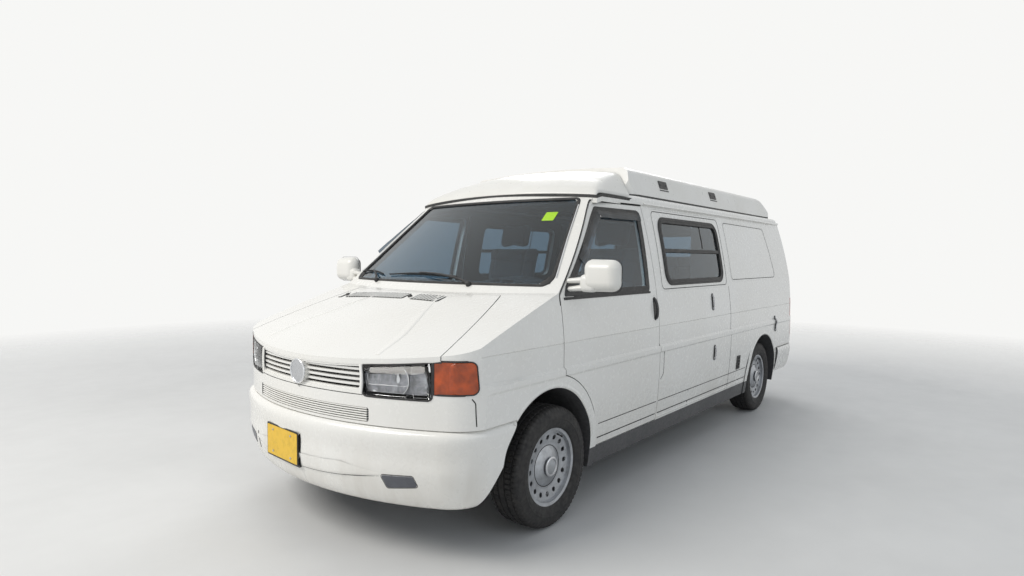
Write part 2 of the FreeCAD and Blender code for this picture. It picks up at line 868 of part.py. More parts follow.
def lid_solid(inset, base):
    """The lifting roof's outside, moved in by inset, from base upwards."""
    slope = (dim.lid_half - dim.lid_shoulder_half) / (dim.lid_shoulder_height - dim.lid_base_height)
    half = dim.lid_half - inset + slope * (dim.lid_base_height - base)
    steps = [(dim.lid_shoulder_half - inset, dim.lid_shoulder_height - inset / 2)]
    bend_half = (dim.lid_shoulder_half + dim.lid_edge_half) / 2 + 14 - inset
    bend_height = (dim.lid_shoulder_height + dim.lid_edge_height) / 2 + 8 - inset * 0.8
    steps.append(((bend_half, bend_height), (dim.lid_edge_half - inset, dim.lid_edge_height - inset)))
    across = mirrored_outline(in_section(-far), (half, base), steps, crown=(0, dim.lid_crown_height - inset))
    front = at(dim.lid_front_back) + inset
    rear = at(dim.lid_rear_back) - inset
    top = dim.lid_crown_height + 40
    rise = top - dim.lid_base_height
    nose_run = dim.lid_front_rake * rise / (dim.lid_shoulder_height - dim.lid_base_height)
    tail_run = dim.lid_rear_rake
    side = outline(in_profile(-far), (front, base - 5), [
        (front, dim.lid_base_height),
        (front + nose_run, top),
        (rear - tail_run - dim.lid_tail_run, top),
        ((rear - tail_run * 0.62, dim.lid_edge_height - dim.lid_tail_drop), (rear, dim.lid_base_height)),
        (rear, base - 5)])
    foot_half = dim.lid_half - inset
    foot = [(front, -foot_half), (rear, -foot_half), (rear, foot_half), (front, foot_half)]
    foot_wire = rounded_outline(lambda along, over: Vector(along, over, base), foot, dim.lid_corner_radius - inset)
    return (prism(across, Vector(2 * far, 0, 0)).common(prism(side, Vector(0, 2 * far, 0)))
            .common(prism(foot_wire, Vector(0, 0, far))))


def arch_flares():
    """The raised band that each wheel arch wears outside."""
    above_sill = block(-far, far, -far, far, dim.sill_height, far)
    proud = Envelope(-dim.flare_proud).sides.cut(panel_back.sides).common(above_sill)
    bands = []
    for side in sides.values():
        for front in (True, False):
            bands.append(proud.common(arch_space(side, front, dim.flare_width)))
    return bands


def body_shell():
    firewall = at(dim.firewall_back)
    cabin_room = inner.cabin.common(block(firewall, far, -far, far, 0, far))
    dash_shelf = inner.cabin.common(block(at(dim.dash_shelf_back), firewall, -dim.dash_half, dim.dash_half,
                                          dim.dash_shelf_height, far))
    bay = block(-far, firewall - dim.firewall_thickness, -dim.bay_half, dim.bay_half, 0, far)
    bay = bay.common(plan(dim.nose_wall)).common(bonnet_block(dim.wall))
    deck = prism(bonnet_wire(-dim.flange_width), Vector(0, 0, far))
    deck = deck.common(plan(dim.nose_wall)).common(block(-far, far, -far, far, dim.swage_height, far))
    bonnet_seat = prism(bonnet_wire(dim.shut_gap), Vector(0, 0, far))
    bonnet_seat = bonnet_seat.cut(bonnet_block(dim.bonnet_thickness + dim.seal_gap))
    shell = hull.cut([cabin_room, dash_shelf, bay, deck, bonnet_seat])
    liners = []
    arches = []
    for side in sides.values():
        for front in (True, False):
            liners.append(arch_space(side, front, dim.arch_liner).common(hull))
            arches.append(arch_space(side, front, 0))
    shell = shell.fuse(liners + arch_flares())
    for axle in (front_axle, rear_axle):
        arches.append(block(axle - dim.arm_window_half, axle + dim.arm_window_half,
                            -dim.arch_rear_inner_half - 1, dim.arch_rear_inner_half + 1, 0, dim.arm_window_height))
    arches.append(block(-far, at(dim.arch_front_centre_back), -far, far, 0,
                        dim.bumper_top_height + dim.bumper_gap).common(bumper_zone()))
    arches.append(rear_bumper_zone())
    holes = [headlamp_room(), indicator_room(), grille_room(0), intake_room(0), tail_lamp_room()]
    holes.append(prism(screen_wire(), Vector(dim.screen_rise_depth, 0, 0)))
    middle_glass = side_glass_wire(dim.middle_glass_front_back, dim.middle_glass_rear_back)
    rear_glass = side_glass_wire(dim.rear_glass_front_back, dim.rear_glass_rear_back)
    holes.append(through_side(middle_glass, sides["left"]))
    holes.append(through_side(rear_glass, sides["right"]))
    for side in sides.values():
        holes.append(rebate(door_wire(), side))
    holes.append(rebate(slide_wire(), sides["right"]))
    gate_prism = rear_prism(grown(tailgate_wire(), dim.shut_gap))
    holes.append(gate_prism.cut(flange_front.cabin).fuse(rear_prism(grown(tailgate_wire(), -dim.flange_width))))
    # the tailgate's top edge dips as it swings, so the seat under its hinge is hollowed
    foot = Vector(at(dim.gate_hinge_back), -dim.tailgate_half, dim.gate_hinge_height)
    swing = Part.makeCylinder(dim.gate_swing_radius, 2 * dim.tailgate_half, foot, Vector(0, 1, 0))
    holes.append(swing.common(gate_prism))
    holes.append(block(at(dim.roof_opening_front_back), at(dim.roof_opening_rear_back),
                       -dim.roof_opening_half, dim.roof_opening_half, dim.gutter_height, far))
    shell = shell.cut(arches + holes)
    return shell


def bumper_zone():
    """Where the front bumper hangs, ahead of the wheel arches."""
    return block(-far, at(dim.arch_front_centre_back) - dim.arch_front_radius * 0.7, -far, far, 0, far)


def rear_bumper_zone():
    return block(at(dim.rear_bumper_front_back), far, -far, far, 0, dim.rear_bumper_top_height + dim.bumper_gap).cut(
        inner.sides.common(block(-far, at(dim.floor_rear_back), -far, far, 0, far)))


def tail_lamp_room():
    low = dim.tail_lamp_base_height
    high = dim.tail_lamp_top_height
    room = block(at(dim.tail_lamp_front_back), far, dim.tail_lamp_inner_half, far, low, high).cut(
        panel_back.cabin)
    return room.fuse(room.mirror(Vector(), Vector(0, 1, 0)))


def lower_plan(outset, height):
    """Nose outline for the front bumper, open to the rear, moved out by outset."""
    half = half_width - dim.sill_tuck / 2 + outset
    nose = -dim.overall_length / 2 + dim.nose_inset - outset
    radius = dim.nose_radius + outset
    corner = dim.nose_corner_radius + outset
    reach = half - corner
    tilt = math.asin(reach / (radius - corner))
    centre_along = nose + radius - (radius - corner) * math.cos(tilt)
    start_along = nose + radius * (1 - math.cos(tilt))
    halfway = (math.pi / 2 + tilt) / 2
    middle = (reach + corner * math.sin(halfway), centre_along - corner * math.cos(halfway))
    steps = [(half, centre_along), (middle, (radius * math.sin(tilt), start_along))]
    return mirrored_outline(in_plan(height), (half, front_axle), steps, crown=(0, nose))


def front_bumper():
    top = dim.bumper_top_height
    low = dim.bumper_base_height
    mid = dim.bumper_mid_height
    proud = dim.bumper_proud
    stations = [(low, -dim.bumper_chin_tuck), (low + 20, -dim.bumper_chin_tuck * 0.45),
                ((low + mid) / 2, proud * 0.2), (mid, proud * 0.8), (top - 60, proud),
                (top - dim.bumper_nose_roll, proud * 0.75), (top, 0)]
    outer = Part.makeLoft([lower_plan(out, height) for height, out in stations], True, False)
    hollow = prism(lower_plan(-dim.bumper_wall, low + dim.bumper_wall / 2), Vector(0, 0, top))
    lip = prism(lower_plan(-dim.bumper_wall / 2, top), Vector(0, 0, dim.bumper_gap - dim.seal_gap))
    lip = lip.cut(prism(lower_plan(-dim.bumper_wall, top), Vector(0, 0, dim.bumper_gap)))
    behind = block(at(dim.arch_slant_low_back), far, -dim.bay_half, dim.bay_half, 0, far)
    cover = outer.fuse(lip).cut([hollow, behind])
    cover = cover.common(bumper_zone())
    for side in sides.values():
        cover = cover.cut(arch_space(side, True, 0))
    return cover


def tail_plan(outset, height):
    half = half_width - dim.sill_tuck / 2 + outset
    tail = dim.overall_length / 2 - dim.rear_bumper_proud + outset
    bend = dim.tail_corner_radius + outset
    spot = bend * (1 - math.sqrt(0.5))
    front = at(dim.rear_bumper_front_back)
    steps = [(half, tail - bend), ((half - spot, tail - spot), (half - bend, tail))]
    return mirrored_outline(in_plan(height), (half, front), steps)


def rear_bumper():
    top = dim.rear_bumper_top_height
    low = dim.rear_bumper_base_height
    proud = dim.rear_bumper_proud
    stations = [(low, -proud), (low + 40, 0), (top - 110, proud * 0.7), (top - 40, proud), (top, proud * 0.8)]
    outer = Part.makeLoft([tail_plan(out, height) for height, out in stations], True, False)
    hollow = prism(tail_plan(-dim.bumper_wall, low - 1), Vector(0, 0, top))
    lip = prism(tail_plan(-dim.bumper_wall / 2, top), Vector(0, 0, dim.bumper_gap - dim.seal_gap))
    lip = lip.cut(prism(tail_plan(-dim.bumper_wall, top), Vector(0, 0, dim.bumper_gap)))
    cover = outer.fuse(lip).cut(hollow)
    for side in sides.values():
        cover = cover.cut(arch_space(side, False, 0))
    return cover


def bars(room, low, high, count, thickness, inset_front):
    """Curved slats across the nose, evenly spaced in an opening."""
    band = plan(inset_front).cut(plan(inset_front + dim.slat_depth)).common(room)
    pitch = (high - low) / count
    slats = []
    for index in range(count):
        middle = low + pitch * (index + 0.5)
        slats.append(band.common(block(-far, 0, -far, far, middle - thickness / 2, middle + thickness / 2)))
    return slats


def ring_frame(room_outer, room_inner, front, depth):
    frame_sheet = plan(front).cut(plan(front + depth))
    return frame_sheet.common(room_outer.cut(room_inner))


def upper_grille():
    room = grille_room(0)
    frame = ring_frame(room, grille_room(-9), 2, dim.grille_depth)
    top = dim.bonnet_nose_height - lamp_top
    slats = bars(room, dim.grille_base_height, top, int(dim.grille_slats), dim.grille_slat_height, dim.slat_setback)
    nose = -dim.overall_length / 2 + dim.nose_inset
    disc = Part.makeCylinder(dim.badge_radius, dim.badge_thickness + dim.grille_depth,
                             Vector(nose - dim.badge_thickness, 0, dim.badge_height), Vector(1, 0, 0))
    return frame.fuse(slats + [disc])


def lower_grille():
    room = intake_room(0)
    frame = ring_frame(room, intake_room(-6), 4, dim.grille_depth)
    slats = bars(room, dim.intake_base_height, dim.intake_top_height, int(dim.intake_slats),
                 dim.intake_slat_height, dim.slat_setback)
    spine = plan(dim.slat_setback + dim.slat_depth / 2).cut(plan(dim.grille_depth)).common(room)
    posts = [spine.common(block(-far, 0, across - 4, across + 4, 0, far)) for across in (-300, -100, 100, 300)]
    return frame.fuse(slats + posts)


def headlamps():
    return hull.common(headlamp_room()).cut(plan(dim.lamp_depth - dim.seal_gap))


def indicators():
    return hull.common(indicator_room()).cut(plan(dim.lamp_depth - dim.seal_gap))


def tail_lamps():
    return skin.cabin.common(tail_lamp_room())


def bonnet():
    return hull.common(prism(bonnet_wire(0), Vector(0, 0, far))).cut(bonnet_block(dim.bonnet_thickness))


def windscreen():
    return pane(prism(screen_wire(), Vector(dim.screen_rise_depth, 0, 0)))


def side_windows():
    left = side_glass_wire(dim.middle_glass_front_back, dim.middle_glass_rear_back)
    right = side_glass_wire(dim.rear_glass_front_back, dim.rear_glass_rear_back)
    return Part.makeCompound([side_pane(through_side(left, sides["left"])),
                              side_pane(through_side(left, sides["right"])),
                              side_pane(through_side(right, sides["right"]))])


def front_door(side):
    return panel(door_wire(), side).cut(through_side(door_glass_wire(), side))


def sliding_door():
    glass = side_glass_wire(dim.middle_glass_front_back, dim.middle_glass_rear_back)
    return panel(slide_wire(), sides["right"]).cut(through_side(glass, sides["right"]))


def door_glass(side):
    return side_pane(through_side(door_glass_wire(), side))


def tailgate():
    gate = hull.cut(panel_back.cabin).common(rear_prism(tailgate_wire()))
    return gate.cut(rear_prism(tailgate_glass_wire()))


def tailgate_glass():
    return pane(rear_prism(tailgate_glass_wire()))


def lifted_hull(rise):
    lifted = hull.copy()
    lifted.translate(Vector(0, 0, rise))
    return lifted


def pop_top():
    lid = lid_solid(0, dim.lid_base_height)
    return lid.cut([lid_solid(dim.lid_wall, dim.lid_base_height - 1), lifted_hull(dim.lid_clearance)])


def ring_of(inset, width, low, high):
    outer = lid_solid(inset, low).common(block(-far, far, -far, far, low, high))
    hole = lid_solid(inset + width, low - 1)
    return outer.cut(hole)


def roof_seal():
    ring = ring_of(2, dim.lid_seal_width, dim.gutter_height, dim.lid_base_height - dim.seal_gap)
    return ring.cut(hull)


def tent_canvas():
    low = dim.gutter_height
    high = dim.lid_base_height + dim.tent_height
    return ring_of(dim.tent_inset, dim.tent_wall, low, high).cut(lifted_hull(dim.seal_gap))


def roof_fairing():
    rear = at(dim.lid_front_back) - dim.fairing_gap
    front = at(dim.fairing_front_back)
    low = dim.screen_top_height - 10
    slope = (dim.lid_half - dim.lid_shoulder_half) / (dim.lid_shoulder_height - dim.lid_base_height)
    half = dim.lid_half + slope * (dim.lid_base_height - low)
    bend_half = (dim.lid_shoulder_half + dim.lid_edge_half) / 2 + 14
    bend = (bend_half, (dim.lid_shoulder_height + dim.lid_edge_height) / 2 + 8)
    across = mirrored_outline(in_section(-far), (half, low), [
        (dim.lid_shoulder_half, dim.lid_shoulder_height), (bend, (dim.lid_edge_half, dim.lid_edge_height))],
        crown=(0, dim.lid_crown_height))
    sag = dim.screen_half_top ** 2 / (2 * dim.screen_radius)
    nose = front - sag
    rise = dim.lid_crown_height - dim.screen_top_height
    middle = (nose + (rear - nose) * 0.42, dim.screen_top_height + rise * 0.66)
    side = outline(in_profile(-far), (nose, low), [
        (nose, dim.screen_top_height + 14), (middle, (rear, dim.lid_crown_height + 8)), (rear, low)])
    reach = dim.lid_half + 80
    edge = nose + reach ** 2 / (2 * dim.screen_radius)
    foot = mirrored_outline(in_plan(low), (reach, rear), [(reach, edge)], crown=(0, nose))
    wedge = prism(across, Vector(2 * far, 0, 0)).common(prism(side, Vector(0, 2 * far, 0)))
    return wedge.common(prism(foot, Vector(0, 0, far))).cut(hull)


# Pieces built from blocks, rods and sketches, each tied to the sheet


def rule(text):
    """A formula with each size named as the sheet names it."""
    return re.sub(r"[a-z]\w*", lambda word: "sizes." + word.group(), text)


def bind(item, formulas):
    for name, formula in formulas.items():
        item.setExpression(name, rule(formula))
    return item


def put(item, spot):
    return bind(item, {"Placement.Base." + axis: formula for axis, formula in zip("xyz", spot)})


def crate(label, along, across, height, side=1):
    """A block between pairs of formulas, with across measured outwards on the given side."""
    low, high = across
    if side < 0:
        low, high = "-(%s)" % high, "-(%s)" % low
    item = doc.addObject("Part::Box", label)
    spans = {"Length": along, "Width": (low, high), "Height": height}
    bind(item, {edge: "(%s) - (%s)" % (span[1], span[0]) for edge, span in spans.items()})
    return put(item, [span[0] for span in spans.values()])


def rod(label, radius, length, spot, turn=Rotation()):
    item = doc.addObject("Part::Cylinder", label)
    item.Placement = Placement(Vector(), turn)
    bind(item, {"Radius": radius, "Height": length})
    return put(item, spot)


def joined(label, items):
    item = doc.addObject("Part::MultiFuse", label)
    item.Shapes = items
    item.Refine = True
    return item


def less(label, base, tool):
    item = doc.addObject("Part::Cut", label)
    item.Base = base
    item.Tool = tool
    return item


def within(label, base, tool):
    item = doc.addObject("Part::Common", label)
    item.Base = base
    item.Tool = tool
    return item


def apart(label, items):
    item = doc.addObject("Part::Compound", label)
    item.Links = items
    return item


def softened(label, base, radius):
    """A block with all its edges rounded."""
    doc.recompute()
    item = doc.addObject("Part::Fillet", label)
    item.Base = base
    item.Edges = [(index + 1, radius, radius) for index in range(len(base.Shape.Edges))]
    return item


def outward(side):
    """Turns an upright piece to point out of the van."""
    return Rotation(Vector(1, 0, 0), -90 * side)


def beside(side, formula):
    return formula if side > 0 else "-(%s)" % formula


def floor_pan():
    front = at(dim.firewall_back) + dim.seal_gap
    rear = at(dim.floor_rear_back)
    tight = section(dim.wall + dim.seal_gap)
    deck = tight.common(block(front, rear, -far, far, dim.floor_height - dim.floor_thickness, dim.floor_height))
    for side in sides.values():
        for is_front in (True, False):
            deck = deck.cut(arch_space(side, is_front, dim.arch_liner + dim.seal_gap))
    pieces = [loose("floor_deck", deck)]
    for name, side in sides.items():
        pieces.append(crate("floor_rail_" + name,
                            ("front_axle + firewall_back + seal_gap", "front_axle + floor_rear_back"),
                            ("rail_half - rail_width / 2", "rail_half + rail_width / 2"),
                            ("hub_height + cross_tube_radius + seal_gap", "floor_height - floor_thickness"), side))
    return joined("floor_pan", pieces)


def wishbone(side, height):
    """Arm from the subframe out to the kingpin."""
    outer = dim.track_front / 2
    base = dim.crossmember_half_width - dim.arm_root
    neck = outer - dim.arm_neck_inboard
    low = height - dim.arm_thickness / 2
    points = [Vector(front_axle + along, side * across, low) for along, across in
              [(dim.arm_neck, outer), (dim.arm_neck, neck), (dim.arm_base_half, base),
               (-dim.arm_base_half, base), (-dim.arm_neck, neck), (-dim.arm_neck, outer)]]
    return prism(Part.makePolygon(points + [points[0]]), Vector(0, 0, dim.arm_thickness))


def front_subframe():
    front = "front_axle + beam_front_back"
    rear = "front_axle + firewall_back - firewall_thickness - seal_gap"
    rail = ("floor_height - rail_height", "floor_height")
    rail_across = ("rail_half - rail_width / 2", "rail_half + rail_width / 2")
    post_along = ("front_axle - crossmember_half", "front_axle + crossmember_half")
    post_across = ("crossmember_half_width - crossmember_thickness", "rail_half - rail_width / 2")
    solids = [crate("front_beam", (front, front + " + beam_length"), ("-(%s)" % rail_across[1], rail_across[1]), rail),
              crate("crossmember", post_along, ("-crossmember_half_width", "crossmember_half_width"),
                    ("crossmember_base_height", "crossmember_base_height + crossmember_thickness"))]
    bores = []
    for name, side in sides.items():
        solids.append(crate("front_rail_" + name, (front, rear), rail_across, rail, side))
        solids.append(crate("post_" + name, post_along, post_across,
                            ("crossmember_base_height", "floor_underside"), side))
        bores.append(rod("shaft_bore_" + name, "shaft_radius + shaft_clearance",
                         "(%s) - (%s)" % (post_across[1], post_across[0]),
                         ("front_axle", beside(side, post_across[0]), "hub_height"), outward(side)))
        for level, height in (("lower", "hub_height - kingpin_lower_drop"), ("upper", "hub_height + kingpin_upper_rise")):
            drop = -dim.kingpin_lower_drop if level == "lower" else dim.kingpin_upper_rise
            solids.append(loose("%s_arm_%s" % (level, name), wishbone(side, dim.hub_height + drop)))
            spot = ("front_axle", beside(side, "track_front / 2"), height + " - arm_thickness / 2")
            solids.append(rod("%s_eye_%s" % (level, name), "arm_neck", "arm_thickness", spot))
            bores.append(rod("%s_bore_%s" % (level, name), "kingpin_radius + kingpin_clearance", "arm_thickness", spot))
    return less("front_subframe", joined("subframe_solid", solids), joined("subframe_bores", bores))


def knuckle(name, side):
    """Hub carrier with its brake disc, pinned between the two wishbones."""
    def out(reach):
        return ("front_axle", beside(side, "track_front / 2 + " + reach), "hub_height")

    start = "(rim_hub_face - hub_clearance - brake_thickness)"
    carrier = rod("hub_carrier_" + name, "carrier_radius", "carrier_inboard + " + start,
                  out("(-carrier_inboard)"), outward(side))
    disc = rod("brake_disc_" + name, "brake_radius", "brake_thickness", out(start), outward(side))
    middle = beside(side, "track_front / 2")
    post = rod("kingpin_post_" + name, "arm_neck - kingpin_clearance",
               "kingpin_lower_drop + kingpin_upper_rise - arm_thickness - 2 * kingpin_clearance",
               ("front_axle", middle, "hub_height - kingpin_lower_drop + arm_thickness / 2 + kingpin_clearance"))
    pin = rod("kingpin_" + name, "kingpin_radius", "kingpin_lower_drop + kingpin_upper_rise + arm_thickness",
              ("front_axle", middle, "hub_height - kingpin_lower_drop - arm_thickness / 2"))
    return joined("knuckle_" + name, [carrier, disc, post, pin])


def rear_axle_beam():
    pivot = "rear_axle - trailing_pivot_forward"
    solids = [rod("cross_tube", "cross_tube_radius", "2 * trailing_inboard",
                  (pivot, "-trailing_inboard", "hub_height"), outward(1))]
    for name, side in sides.items():
        hub = beside(side, "track_rear / 2 - drum_inboard")
        solids.append(rod("drum_" + name, "drum_radius", "drum_inboard + rim_hub_face - hub_clearance",
                          ("rear_axle", hub, "hub_height"), outward(side)))
        solids.append(rod("stub_" + name, "cross_tube_radius", "track_rear / 2 - trailing_inboard",
                          ("rear_axle", beside(side, "trailing_inboard"), "hub_height"), outward(side)))
        solids.append(crate("trailing_arm_" + name, (pivot, "rear_axle + trailing_overrun"),
                            ("trailing_inboard - trailing_width / 2", "trailing_inboard + trailing_width / 2"),
                            ("hub_height - trailing_height / 2", "hub_height + trailing_height / 2"), side))
        solids.append(rod("spring_" + name, "spring_radius", "floor_underside - hub_height",
                          ("rear_axle - spring_forward", beside(side, "trailing_inboard"), "hub_height")))
    return joined("rear_axle_beam", solids)


def engine_block():
    engine = crate("engine", ("front_axle + engine_front_back", "front_axle + engine_rear_back"),
                   ("-engine_half", "engine_half"), ("engine_base_height", "engine_top_height"))
    gearbox = crate("gearbox", ("front_axle + engine_rear_back", "front_axle + gearbox_rear_back"),
                    ("-gearbox_half", "gearbox_half"),
                    ("crossmember_base_height + crossmember_thickness + seal_gap", "gearbox_top_height"))
    return joined("engine_and_gearbox", [engine, gearbox])


def driveshafts():
    shafts = []
    reach = "(track_front / 2 - joint_inboard)"
    for name, side in sides.items():
        shaft = rod("shaft_" + name, "shaft_radius", reach + " - gearbox_half - seal_gap",
                    ("front_axle", beside(side, "gearbox_half + seal_gap"), "hub_height"), outward(side))
        cup = rod("joint_cup_" + name, "joint_radius", "joint_length",
                  ("front_axle", beside(side, reach + " - joint_length"), "hub_height"), outward(side))
        shafts.append(joined("driveshaft_" + name, [shaft, cup]))
    return apart("driveshaft_pair", shafts)


def kitchen_cabinet():
    low_unit = crate("low_unit", ("front_axle + kitchen_front_back", "front_axle + kitchen_rear_back"),
                     ("kitchen_inner_half", "body_width"), ("floor_top", "kitchen_top_height"), sides["left"])
    tall_unit = crate("tall_unit", ("front_axle + kitchen_rear_back", "front_axle + wardrobe_rear_back"),
                      ("wardrobe_inner_half", "body_width"), ("floor_top", "wardrobe_top_height"), sides["left"])
    room = section(dim.wall + dim.seal_gap).cut(arch_space(sides["left"], False, dim.arch_liner + dim.seal_gap))
    return within("kitchen_units", joined("kitchen_blocks", [low_unit, tall_unit]), loose("kitchen_room", room))


def seat_frames():
    solids = [crate("bench_base", ("front_axle + bench_front_back", "front_axle + bench_front_back + bench_length"),
                    ("-bench_left_half", "bench_right_half"), ("floor_top", "bench_base_height"))]
    for name, side in sides.items():
        half = "(seat_width / 2 - pedestal_margin)"
        solids.append(crate("pedestal_" + name,
                            ("front_axle + seat_front_back + pedestal_margin",
                             "front_axle + seat_front_back + seat_length - pedestal_margin / 2"),
                            ("seat_across - " + half, "seat_across + " + half),
                            ("floor_top", "seat_base_height"), side))
    return apart("seat_bases", solids)


def cushion(label, along, across, height, side, round_over):
    """A lying cushion."""
    return softened(label, crate(label + "_block", along, across, height, side), round_over)


def leaning(label, spot, width, height, thickness, round_over):
    """An upright cushion, leaned back about its lower front edge."""
    item = doc.addObject("Part::Box", label + "_block")
    item.Placement = Placement(Vector(), Rotation(Vector(0, 1, 0), dim.seat_recline))
    bind(item, {"Length": thickness, "Width": width, "Height": height})
    put(item, spot)
    return softened(label, item, round_over)


def front_seats():
    cushions = []
    base = "(seat_base_height + seal_gap)"
    top = base + " + seat_cushion + seat_gap"
    foot = dim.seat_front_back + dim.seat_length - dim.seat_back_sink
    rise = dim.seat_back_height + dim.seal_gap
    lean = math.radians(dim.seat_recline)
    for name, side in sides.items():
        low = "seat_across - seat_width / 2"
        high = "seat_across + seat_width / 2"
        cushions.append(cushion("seat_squab_" + name,
                                ("front_axle + seat_front_back", "front_axle + seat_front_back + seat_length"),
                                (low, high), (base, base + " + seat_cushion"), side, dim.seat_round))
        left_edge = "%d * seat_across - seat_back_width / 2" % side
        cushions.append(leaning("seat_back_" + name, ("front_axle + %s" % foot, left_edge, top), "seat_back_width",
                                "seat_back_height", "seat_back_thickness", dim.seat_round))
        spot = ("front_axle + %s" % (foot + rise * math.sin(lean)),
                "%d * seat_across - headrest_width / 2" % side, top + " + %s" % (rise * math.cos(lean)))
        cushions.append(leaning("headrest_" + name, spot, "headrest_width", "headrest_height",
                                "headrest_thickness", dim.headrest_round))
    return apart("front_seat_cushions", cushions)


def rear_bench():
    base = "(bench_base_height + seal_gap)"
    squab = cushion("bench_squab",
                    ("front_axle + bench_front_back", "front_axle + bench_front_back + bench_length"),
                    ("-bench_left_half", "bench_right_half"), (base, base + " + bench_cushion"), 1, dim.seat_round)
    back = leaning("bench_back", ("front_axle + bench_front_back + bench_length - seat_back_sink",
                                  "-bench_left_half", base + " + bench_cushion + seat_gap"),
                   "bench_left_half + bench_right_half", "bench_back_height", "seat_back_thickness", dim.seat_round)
    return apart("bench_cushions", [squab, back])


def dashboard():
    firewall = at(dim.firewall_back) + dim.seal_gap
    shelf = dim.dash_shelf_height + dim.seal_gap
    lip = at(dim.dash_shelf_back) + 12
    rear = at(dim.dash_rear_back)
    start = (firewall, dim.dash_base_height)
    steps = [(firewall, shelf), (lip, shelf), (lip, dim.dash_top_height + 20),
             ((rear - 120, dim.dash_top_height + 22), (rear - 20, dim.dash_top_height - 30)),
             ((rear + 10, dim.dash_lip_height + 40), (rear - 40, dim.dash_lip_height - 60)),
             (rear - 150, dim.dash_base_height)]
    bar = prism(outline(in_profile(-dim.dash_half + 4), start, steps), Vector(0, 2 * (dim.dash_half - 4), 0))
    room = Envelope(dim.wall + dim.seal_gap).cabin
    return bar.common(room)


def steering_wheel():
    lean = Rotation(Vector(0, 1, 0), dim.wheel_tilt)
    axis = lean.multVec(Vector(0, 0, 1))

    def down(reach):
        return ("front_axle + wheel_back - %s" % (axis.x * reach), "-wheel_across",
                "wheel_height - %s" % (axis.z * reach))

    ring = doc.addObject("Part::Torus", "grip_ring")
    ring.Placement = Placement(Vector(), lean)
    put(bind(ring, {"Radius1": "wheel_radius", "Radius2": "wheel_grip"}), down(0))
    hub = rod("horn_pad", "horn_pad_radius", "horn_pad_thickness", down(dim.horn_pad_drop), lean)
    column = rod("column", "column_radius", "column_length", down(dim.column_length + dim.column_drop), lean)
    above = crate("above_floor", ("-overall_length", "overall_length"), ("-body_width", "body_width"),
                  ("floor_top", "overall_length"))
    solids = [ring, hub, within("column_above_floor", column, above)]
    spot = list(down(dim.spoke_drop))
    spot[1] = "-wheel_across - wheel_radius"
    solids.append(rod("spokes", "spoke_radius", "2 * wheel_radius", spot, outward(1)))
    return joined("steering_wheel_and_column", solids)


def mirror(name, side):
    across = ("mirror_across - mirror_width / 2", "mirror_across + mirror_width / 2")
    head = crate("mirror_head_" + name,
                 ("front_axle + mirror_back - mirror_depth / 2", "front_axle + mirror_back + mirror_depth / 2"),
                 across, ("mirror_height - mirror_tall / 2", "mirror_height + mirror_tall / 2"), side)
    pieces = [softened("mirror_case_" + name, head, dim.mirror_round)]
    root = "(body_width / 2 - glass_bulge_tuck - mirror_arm_root)"
    for level, sign in (("low", "-"), ("high", "+")):
        height = "mirror_height - mirror_arm_drop %s mirror_arm_spread" % sign
        pieces.append(rod("mirror_arm_%s_%s" % (level, name), "mirror_arm_radius", "mirror_across - " + root,
                          ("front_axle + mirror_back", beside(side, root), height), outward(side)))
    return less("mirror_outside_" + name, joined("mirror_solid_" + name, pieces), cabin_skin)


def fuel_tank():
    tank = crate("tank_block", ("front_axle + tank_front_back", "front_axle + tank_rear_back"),
                 ("-tank_half", "tank_half"), ("floor_underside - tank_depth", "floor_underside"))
    return softened("tank", tank, dim.tank_round)


def exhaust():
    lengthwise = Rotation(Vector(0, 1, 0), 90)

    def pipe(label, radius, start, end):
        return rod(label, radius, "(%s) - (%s)" % (end, start),
                   ("front_axle + " + start, "silencer_across", "silencer_height"), lengthwise)

    solids = [pipe("silencer", "silencer_radius", "silencer_front_back", "silencer_rear_back"),
              pipe("front_pipe", "pipe_radius", "silencer_front_back - pipe_lead", "silencer_front_back"),
              pipe("tail_pipe", "pipe_radius", "silencer_rear_back", "pipe_rear_back")]
    for name, front in (("front", "front_axle + silencer_front_back + hanger_width"),
                        ("rear", "front_axle + pipe_rear_back - 3 * hanger_width")):
        solids.append(crate("hanger_" + name, (front, front + " + hanger_width"),
                            ("silencer_across - hanger_width / 2", "silencer_across + hanger_width / 2"),
                            ("silencer_height", "floor_underside")))
    return joined("exhaust_pipe", solids)


def radiator():
    return crate("radiator_core", ("front_axle + radiator_front_back", "front_axle + radiator_front_back + radiator_thickness"),
                 ("-radiator_half", "radiator_half"), ("floor_top", "radiator_top_height"))


def origin_plane(body, role):
    return [item for item in body.Origin.OriginFeatures if item.Role == role][0]


